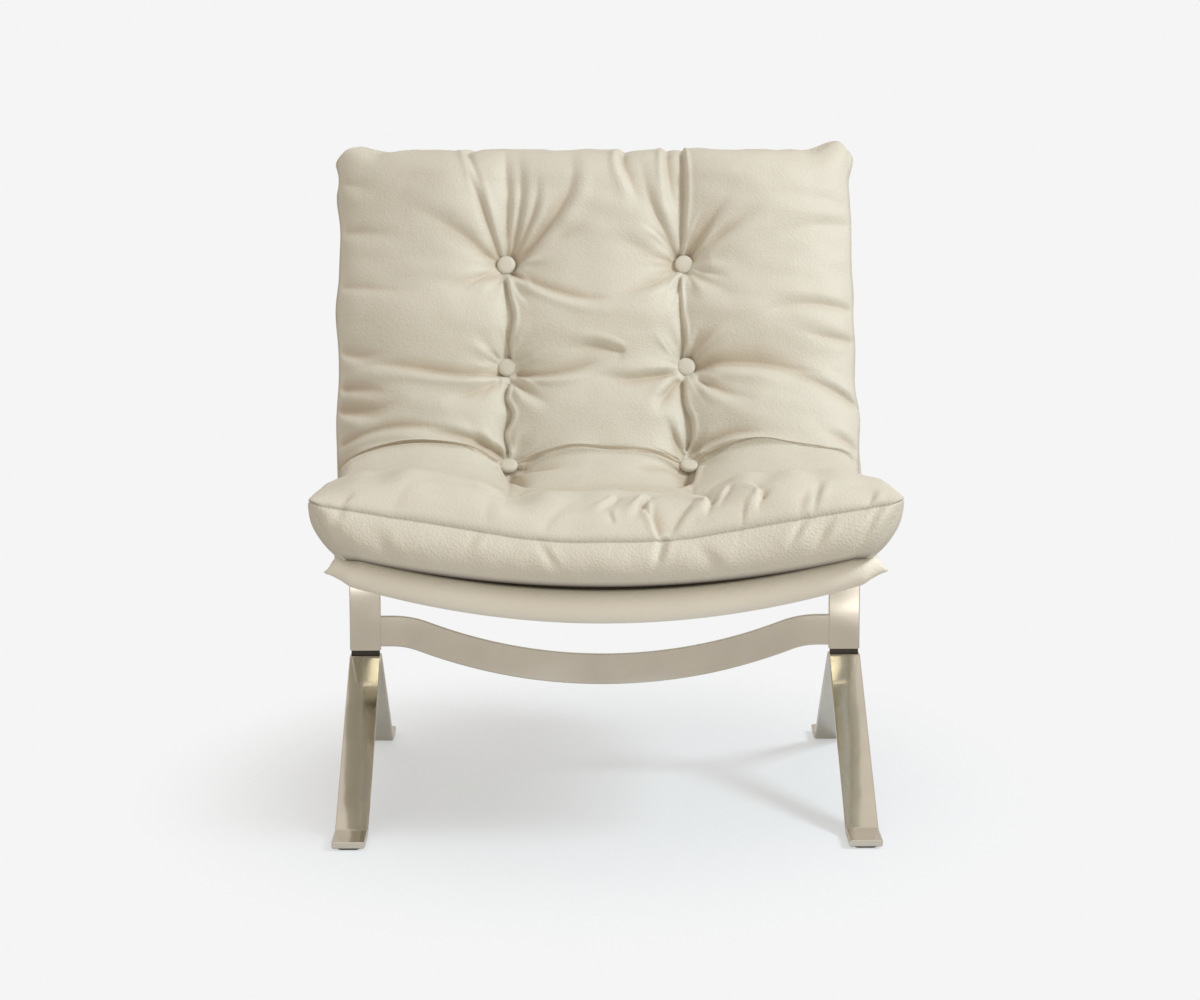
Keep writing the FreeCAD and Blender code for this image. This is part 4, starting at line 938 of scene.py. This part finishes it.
def roll_section(x):
    """Centre, half depth, half height and pinch of the roll's cross-section at that x."""
    size = abs(x)
    y_mid, z_mid, _ = path(ROLL_ALONG)
    pinch = float(smooth(size, ROLL_BODY - 0.012, SLING_HALF + 0.004))
    to_bar, to_end = min(size / HALF_INNER, 1) ** 2, (size / ROLL_BODY) ** 2
    top = z_mid + HALF_BAR + SLING_THICK - (SLING_FRONT_SAG + ROLL_TOP_SINK) * (1 - to_bar)
    bottom = z_mid - ROLL_END_DROP - ROLL_DROOP * (1 - min(to_end, 1))
    deep = ROLL_HALF_DEPTH + (ROLL_END_HALF_DEPTH - ROLL_HALF_DEPTH) * to_end
    y_mid = y_mid - (deep - ROLL_BEHIND_ROD) * (1 - pinch)
    past = max((size - ROLL_TIP_START) / (ROLL_TIP_END - ROLL_TIP_START), 0)
    tip = max(1 - past ** 2, 0) ** 0.5
    high = (top - bottom) / 2 * (1 - pinch) + CORNER_HALF_HEIGHT * pinch
    high = TIP_HALF_HEIGHT + (high - TIP_HALF_HEIGHT) * tip
    level = (top + bottom) / 2 * (1 - pinch) + (z_mid + TIP_LIFT - TIP_DROP * (1 - tip)) * pinch
    deep = deep * (1 - pinch) + (TIP_HALF_DEPTH + CORNER_MORE_DEPTH * tip) * pinch
    return float(y_mid), float(level), deep, high, pinch


def front_roll():
    """Soft roll round the drooped rod, with its ends drawn to flat corners and shadow painted along the top
    of its front.
    """
    plain = np.linspace(0, ROLL_PLAIN_HALF, ROLL_PLAIN_RINGS)
    ends = np.linspace(ROLL_PLAIN_HALF, ROLL_TIP_END, ROLL_END_RINGS)
    half_xs = np.concatenate([plain, ends[1:]])
    xs = np.concatenate([-half_xs[:0:-1], half_xs])
    sections = [roll_section(x) for x in xs]
    bm = bmesh.new()
    seam, grain = bm.verts.layers.float.new("seams_and_painted_shade"), bm.verts.layers.float.new("grain")
    bmesh.ops.create_cone(bm, cap_ends=True, segments=ROLL_SIDES, radius1=1, radius2=1, depth=2)
    divide_upright(bm, len(xs) - 1)
    for vert in bm.verts:
        ring, turn = index_of(vert.co.z, len(xs)), atan2(vert.co.y, vert.co.x)
        y_mid, level, deep, high, pinch = sections[ring]
        c, s = (np.sign(part) * abs(part) ** ROLL_SQUARENESS for part in (cos(turn), sin(turn)))
        x = xs[ring]
        slant = np.sign(x) * TIP_SLANT * pinch * (1 + s) / 2
        vert.co = (x - slant, y_mid + deep * c, level + high * s)
        # Shadow painted along the top of the roll's front, where it sits in the gap under the pad
        vert[seam] = float(smooth(s, 0.86, 0.97) * (1 - smooth(abs(x), 0.27, 0.30)))
        vert[grain] = 1.0
    bmesh.ops.recalc_face_normals(bm, faces=bm.faces[:])
    return new_piece("front_roll", bm)


# Buttons

# Half of a button's section from its underside's middle to its top's, as (radius, height)
BUTTON_PROFILE = (
    (0.0, -0.0012), (0.0118, -0.0012), (BUTTON_RADIUS, 0.0008), (0.0123, 0.0028), (0.0115, 0.0044),
    (0.0098, 0.0054), (0.0065, 0.0060), (0.0030, 0.0062), (0.0, 0.0063),
)
BUTTON_SIDES = 32


def buttons(name, rows):
    """Domed leather-covered buttons, one row above another, as one piece."""
    bm = bmesh.new()
    whole_turn = {"cent": (0, 0, 0), "axis": (0, 0, 1), "angle": 2 * pi, "steps": BUTTON_SIDES}
    for along, height in rows:
        _, _, angle = path(along)
        for sign in (-1, 1):
            others = set(bm.verts)
            verts = [bm.verts.new((radius, 0, rise)) for radius, rise in BUTTON_PROFILE]
            edges = [bm.edges.new(pair) for pair in zip(verts, verts[1:])]
            bmesh.ops.spin(bm, geom=verts + edges, use_merge=True, **whole_turn)
            centre = Vector(spots(along, sign * BUTTON_COLUMN, height))
            centre.x -= float(lean_at(run_of(along)))
            turn = Matrix.Translation(centre) @ Matrix.Rotation(float(angle), 4, "X")
            bmesh.ops.transform(bm, matrix=turn, verts=[v for v in bm.verts if v not in others])
    bmesh.ops.remove_doubles(bm, verts=bm.verts[:], dist=1e-5)
    bmesh.ops.recalc_face_normals(bm, faces=bm.faces[:])
    return new_piece(name, bm)


# Finishes

PAD_LEATHER = ((0.690, 0.676, 0.595), (0.658, 0.640, 0.556))
# The sling's leather is the pad's, painted lighter to offset the shade that the roll sits in
SLING_LEATHER_PAINTED_LIGHTER = ((0.87, 0.855, 0.765), (0.84, 0.82, 0.73))
# Shade painted into the pad's folds, crease and button hollows
DEEP_FOLD_SHADE = (0.50, 0.40, 0.28)
DEEP_FOLD_SHARE = 0.65
# One dark colour for the seams and for the shade painted under the front boxing and along the roll's top
SEAM_AND_PAINTED_SHADE = (0.06, 0.042, 0.026)
PEBBLE_STRENGTH = 0.5
SKIN_STRENGTH = 0.2
CRUMPLE_STRENGTH = 0.34
METAL_TONES = (0.88, 1.12)
POLISH_RANGE = (0.75, 1.3)


def finish_of(name):
    """New material with its node tree and its shader."""
    material = bpy.data.materials.new(name)
    material.use_nodes = True
    tree = material.node_tree
    shader = tree.nodes["Principled BSDF"]
    return material, tree, shader


def add(tree, kind, **values):
    """New node of that kind, with those values on its inputs or settings."""
    node = tree.nodes.new(kind)
    for key, value in values.items():
        if key in node.inputs:
            node.inputs[key].default_value = value
        else:
            setattr(node, key, value)
    return node


def set_range(node, start, end, side="From"):
    """Sets one side of a Map Range node."""
    node.inputs[side + " Min"].default_value = start
    node.inputs[side + " Max"].default_value = end


def noise(tree, scale, **values):
    """Noise on the piece's own coordinates."""
    texture = add(tree, "ShaderNodeTexNoise", Scale=scale, **values)
    place = add(tree, "ShaderNodeTexCoord")
    tree.links.new(place.outputs["Object"], texture.inputs["Vector"])
    return texture.outputs["Fac"]


def mixed(tree, first, second, share):
    """Colour between two, each a socket or a plain colour, by a share that is a socket."""
    mix = add(tree, "ShaderNodeMix", data_type="RGBA")
    for name, colour in (("A", first), ("B", second)):
        if isinstance(colour, tuple):
            mix.inputs[name].default_value = (*colour, 1)
        else:
            tree.links.new(colour, mix.inputs[name])
    tree.links.new(share, mix.inputs["Factor"])
    return mix.outputs["Result"]


def mark(tree, name, share=None):
    """One of the piece's own marks, times a share where one is given."""
    read = add(tree, "ShaderNodeAttribute", attribute_name=name)
    if share is None:
        return read.outputs["Fac"]
    part = add(tree, "ShaderNodeMath", operation="MULTIPLY")
    part.inputs[1].default_value = share
    tree.links.new(read.outputs["Fac"], part.inputs[0])
    return part.outputs["Value"]


def relief(tree, height, strength, distance, under=None):
    """Bump of that height, over the one under it."""
    bump_node = add(tree, "ShaderNodeBump", Strength=strength, Distance=distance)
    tree.links.new(height, bump_node.inputs["Height"])
    if under:
        tree.links.new(under.outputs["Normal"], bump_node.inputs["Normal"])
    return bump_node


def leather(name, colours, grain=1.0, marked=False):
    """Pale leather with a pebbled grain, faint clouding and a low sheen. On a marked piece the seams are
    darker, shade is painted into its hollows and gaps, and the pebbles are as strong as its marks say."""
    material, tree, shader = finish_of(name)
    link = tree.links.new
    pale, dark = colours
    clouds = add(tree, "ShaderNodeMapRange")
    set_range(clouds, 0.3, 0.65)
    link(noise(tree, 7.0, Detail=4.0), clouds.inputs["Value"])
    colour = mixed(tree, dark, pale, clouds.outputs["Result"])
    if marked:
        # Shade painted into the hollows; then the dark seams, with shade painted under the front boxing and
        # along the roll's top
        colour = mixed(tree, colour, DEEP_FOLD_SHADE, mark(tree, "painted_hollow_shade", DEEP_FOLD_SHARE))
        colour = mixed(tree, colour, SEAM_AND_PAINTED_SHADE, mark(tree, "seams_and_painted_shade"))
    link(colour, shader.inputs["Base Color"])
    shader.inputs["Roughness"].default_value = 0.52
    shader.inputs["Specular IOR Level"].default_value = 0.42
    shader.inputs["Sheen Weight"].default_value = 0.06
    shader.inputs["Subsurface Weight"].default_value = 0.05
    shader.inputs["Subsurface Radius"].default_value = (0.006, 0.004, 0.003)
    place = add(tree, "ShaderNodeTexCoord")
    cells = add(tree, "ShaderNodeTexVoronoi", Scale=330.0)
    link(place.outputs["Object"], cells.inputs["Vector"])
    pebbles = relief(tree, cells.outputs["Distance"], PEBBLE_STRENGTH * grain, 0.0008)
    if marked:
        link(mark(tree, "grain", PEBBLE_STRENGTH * grain), pebbles.inputs["Strength"])
    skin = relief(tree, noise(tree, 900.0, Detail=3.0), SKIN_STRENGTH * grain, 0.0003, pebbles)
    wrinkles = noise(tree, 60.0, Detail=5.0, Distortion=0.6)
    crumple = relief(tree, wrinkles, CRUMPLE_STRENGTH, 0.0015, skin)
    link(crumple.outputs["Normal"], shader.inputs["Normal"])
    return material


def metal(name, colour, roughness, waviness=0.0):
    """Metal with a cloudy tone and an uneven polish, and waves where it isn't quite flat."""
    material, tree, shader = finish_of(name)
    shader.inputs["Metallic"].default_value = 1.0
    dull, bright = (tuple(min(tone * part, 1.0) for part in colour) for tone in METAL_TONES)
    tone = mixed(tree, dull, bright, noise(tree, 11.0, Detail=2.0, Distortion=0.8))
    tree.links.new(tone, shader.inputs["Base Color"])
    polish = add(tree, "ShaderNodeMapRange")
    set_range(polish, *(roughness * part for part in POLISH_RANGE), side="To")
    tree.links.new(noise(tree, 14.0, Detail=3.0), polish.inputs["Value"])
    tree.links.new(polish.outputs["Result"], shader.inputs["Roughness"])
    if waviness:
        waves = relief(tree, noise(tree, 9.0, Detail=1.0), waviness, 0.004)
        tree.links.new(waves.outputs["Normal"], shader.inputs["Normal"])
    return material


def plain(name, colour, roughness):
    """Even dull finish with fine specks of relief."""
    material, tree, shader = finish_of(name)
    shader.inputs["Base Color"].default_value = (*colour, 1)
    shader.inputs["Roughness"].default_value = roughness
    specks = relief(tree, noise(tree, 300.0), 0.2, 0.0004)
    tree.links.new(specks.outputs["Normal"], shader.inputs["Normal"])
    return material


def dress(node, material):
    """Gives a solid of the frame that material."""
    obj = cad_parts[node]
    if not obj.material_slots:
        obj.data.materials.append(material)
    for place in obj.material_slots:
        place.material = material


def dress_frame():
    """Finishes for the solids that stay: small fittings by the ends of their names, then steel."""
    steel = metal("polished_steel_finish", (0.772, 0.756, 0.688), 0.07, 0.36)
    fittings = {
        # The recessed neck is a real part; its near-black colour is painted shade for the dark gap between
        # the bars
        "_neck": metal("neck_painted_shade_finish", (0.06, 0.055, 0.05), 0.45),
        "_screws": metal("screw_finish", (0.45, 0.43, 0.40), 0.3),
        "_foot_pad": plain("rubber_finish", (0.012, 0.012, 0.012), 0.75),
        "_ties": plain("twine_finish", (0.62, 0.58, 0.48), 0.8),
        "_washers": plain("washer_finish", (0.62, 0.60, 0.55), 0.5),
    }
    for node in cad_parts:
        endings = [ending for ending in fittings if node.endswith(ending)]
        if endings:
            dress(node, fittings[endings[0]])
        elif any(word in node for word in ("bar", "post", "rod", "stretcher")):
            dress(node, steel)


def dress_soft_pieces():
    """The pad, the sling and the buttons, each in place of its solids."""
    pad_finish = leather("pad_leather_finish", PAD_LEATHER, 1.0, True)
    button_finish = leather("button_leather_finish", PAD_LEATHER, 0.6)
    # The roll carries painted shadow along its top; the sling and roll leather is painted lighter than the
    # pad's
    roll_painted_finish = leather("roll_leather_painted_light_and_shade", SLING_LEATHER_PAINTED_LIGHTER, 0.8, True)
    sling_painted_finish = leather("sling_leather_painted_lighter", SLING_LEATHER_PAINTED_LIGHTER, 0.8)
    pad = shaped_pad()
    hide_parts("seat_pad", "back_pad", "seat_pad_core", "back_pad_core")
    sheet, flat = sling_panel()
    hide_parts("sling_seat_panel", "sling_back_panel", "sling_top_hem")
    roll = front_roll()
    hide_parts("sling_front_roll")
    dressed = [
        (pad, "pad_leather", pad_finish),
        (sheet, "sling_leather", sling_painted_finish),
        (roll, "sling_leather", roll_painted_finish),
    ]
    for name, rows in (("seat", SEAT_ROWS), ("crease", CREASE_ROWS), ("back", BACK_ROWS)):
        covers = buttons(name + "_button_covers", rows)
        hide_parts(name + "_buttons")
        dressed.append((covers, "button_leather", button_finish))
    for piece, slot, finish in dressed:
        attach(piece, "root")
        piece.data.materials.append(finish)


# Studio

# Soft light from all sides, a little stronger from above
WORLD_COLOUR = (1.0, 0.895, 0.79)
WORLD_SIDE = (0.01, -0.04, 0.20)
WORLD_LEVEL = 0.55
BACKDROP_COLOUR = (0.912, 0.912, 0.912)
# A pale floor that fades into the backdrop round an oval
FLOOR_COLOUR = (0.84, 0.915, 1.0)
FLOOR_RADIUS = 4.0
FLOOR_OVAL = (1.35, 1.0, 1.0)
FLOOR_FADE = (0.35, 0.85)
FLOOR_CLEAREST = 0.40


def soft_world():
    """Soft uneven light all round, and a plain backdrop where the camera sees past the chair."""
    world = bpy.data.worlds.new("studio")
    bpy.context.scene.world = world
    world.use_nodes = True
    tree = world.node_tree
    link = tree.links.new
    back = tree.nodes["Background"]
    back.inputs["Color"].default_value = (*WORLD_COLOUR, 1)
    way = add(tree, "ShaderNodeTexCoord")
    side = add(tree, "ShaderNodeVectorMath", operation="DOT_PRODUCT")
    side.inputs[1].default_value = WORLD_SIDE
    level = add(tree, "ShaderNodeMath", operation="ADD")
    level.inputs[1].default_value = WORLD_LEVEL
    link(way.outputs["Generated"], side.inputs[0])
    link(side.outputs["Value"], level.inputs[0])
    link(level.outputs["Value"], back.inputs["Strength"])
    seen = add(tree, "ShaderNodeBackground")
    seen.inputs["Color"].default_value = (*BACKDROP_COLOUR, 1)
    rays = add(tree, "ShaderNodeLightPath")
    pick = add(tree, "ShaderNodeMixShader")
    link(rays.outputs["Is Camera Ray"], pick.inputs["Fac"])
    link(back.outputs["Background"], pick.inputs[1])
    link(seen.outputs["Background"], pick.inputs[2])
    link(pick.outputs["Shader"], tree.nodes["World Output"].inputs["Surface"])


def pale_floor():
    """Round floor under the chair that keeps its shadow and fades into the backdrop."""
    bm = bmesh.new()
    bmesh.ops.create_circle(bm, cap_ends=True, segments=96, radius=FLOOR_RADIUS)
    floor = new_piece("floor", bm, False)
    material, tree, shader = finish_of("floor_finish")
    link = tree.links.new
    shader.inputs["Base Color"].default_value = (*FLOOR_COLOUR, 1)
    shader.inputs["Roughness"].default_value = 0.9
    shader.inputs["Specular IOR Level"].default_value = 0.1
    clear = add(tree, "ShaderNodeBsdfTransparent")
    fade = add(tree, "ShaderNodeMixShader")
    place = add(tree, "ShaderNodeTexCoord")
    oval = add(tree, "ShaderNodeVectorMath", operation="MULTIPLY")
    oval.inputs[1].default_value = FLOOR_OVAL
    size = add(tree, "ShaderNodeVectorMath", operation="LENGTH")
    link(place.outputs["Object"], oval.inputs[0])
    link(oval.outputs["Vector"], size.inputs[0])
    ring = add(tree, "ShaderNodeMapRange", interpolation_type="SMOOTHSTEP")
    set_range(ring, *FLOOR_FADE)
    ring.inputs["To Min"].default_value = FLOOR_CLEAREST
    link(size.outputs["Value"], ring.inputs["Value"])
    link(ring.outputs["Result"], fade.inputs["Fac"])
    link(shader.outputs["BSDF"], fade.inputs[1])
    link(clear.outputs["BSDF"], fade.inputs[2])
    link(fade.outputs["Shader"], tree.nodes["Material Output"].inputs["Surface"])
    floor.data.materials.append(material)


def place_in_studio(name, data):
    """Object of that name for a lamp or a camera."""
    obj = bpy.data.objects.new(name, data)
    bpy.context.scene.collection.objects.link(obj)
    return obj


def lamp(name, place, aim, power, size, colour):
    """Rectangular lamp of that width and height, aimed at a point."""
    light = bpy.data.lights.new(name, "AREA")
    light.shape = "RECTANGLE"
    light.size, light.size_y = size
    light.energy = power
    light.color = colour
    obj = place_in_studio(name, light)
    obj.location = place
    obj.rotation_euler = (Vector(aim) - Vector(place)).to_track_quat("-Z", "Y").to_euler()


def studio():
    """Light, floor, lamps and the camera of the photograph."""
    soft_world()
    pale_floor()
    lamp("key", (2.8, -1.15, 2.7), (0, 0.1, 0.45), 76, (1.0, 1.0), (0.92, 0.975, 1.0))
    lamp("low", (0.1, -1.75, 0.10), (0, -0.3, 0.26), 3.9, (1.8, 0.3), (1.0, 0.95, 0.88))
    camera_data = bpy.data.cameras.new("camera")
    camera_data.sensor_width = CAMERA_SENSOR
    camera_data.lens = CAMERA_SENSOR * PHOTO_FOCUS / PHOTO_SIZE[0]
    camera = place_in_studio("camera", camera_data)
    camera.matrix_world = camera_place()
    scene = bpy.context.scene
    scene.camera = camera
    scene.view_settings.view_transform = "Standard"


dress_frame()
dress_soft_pieces()
studio()
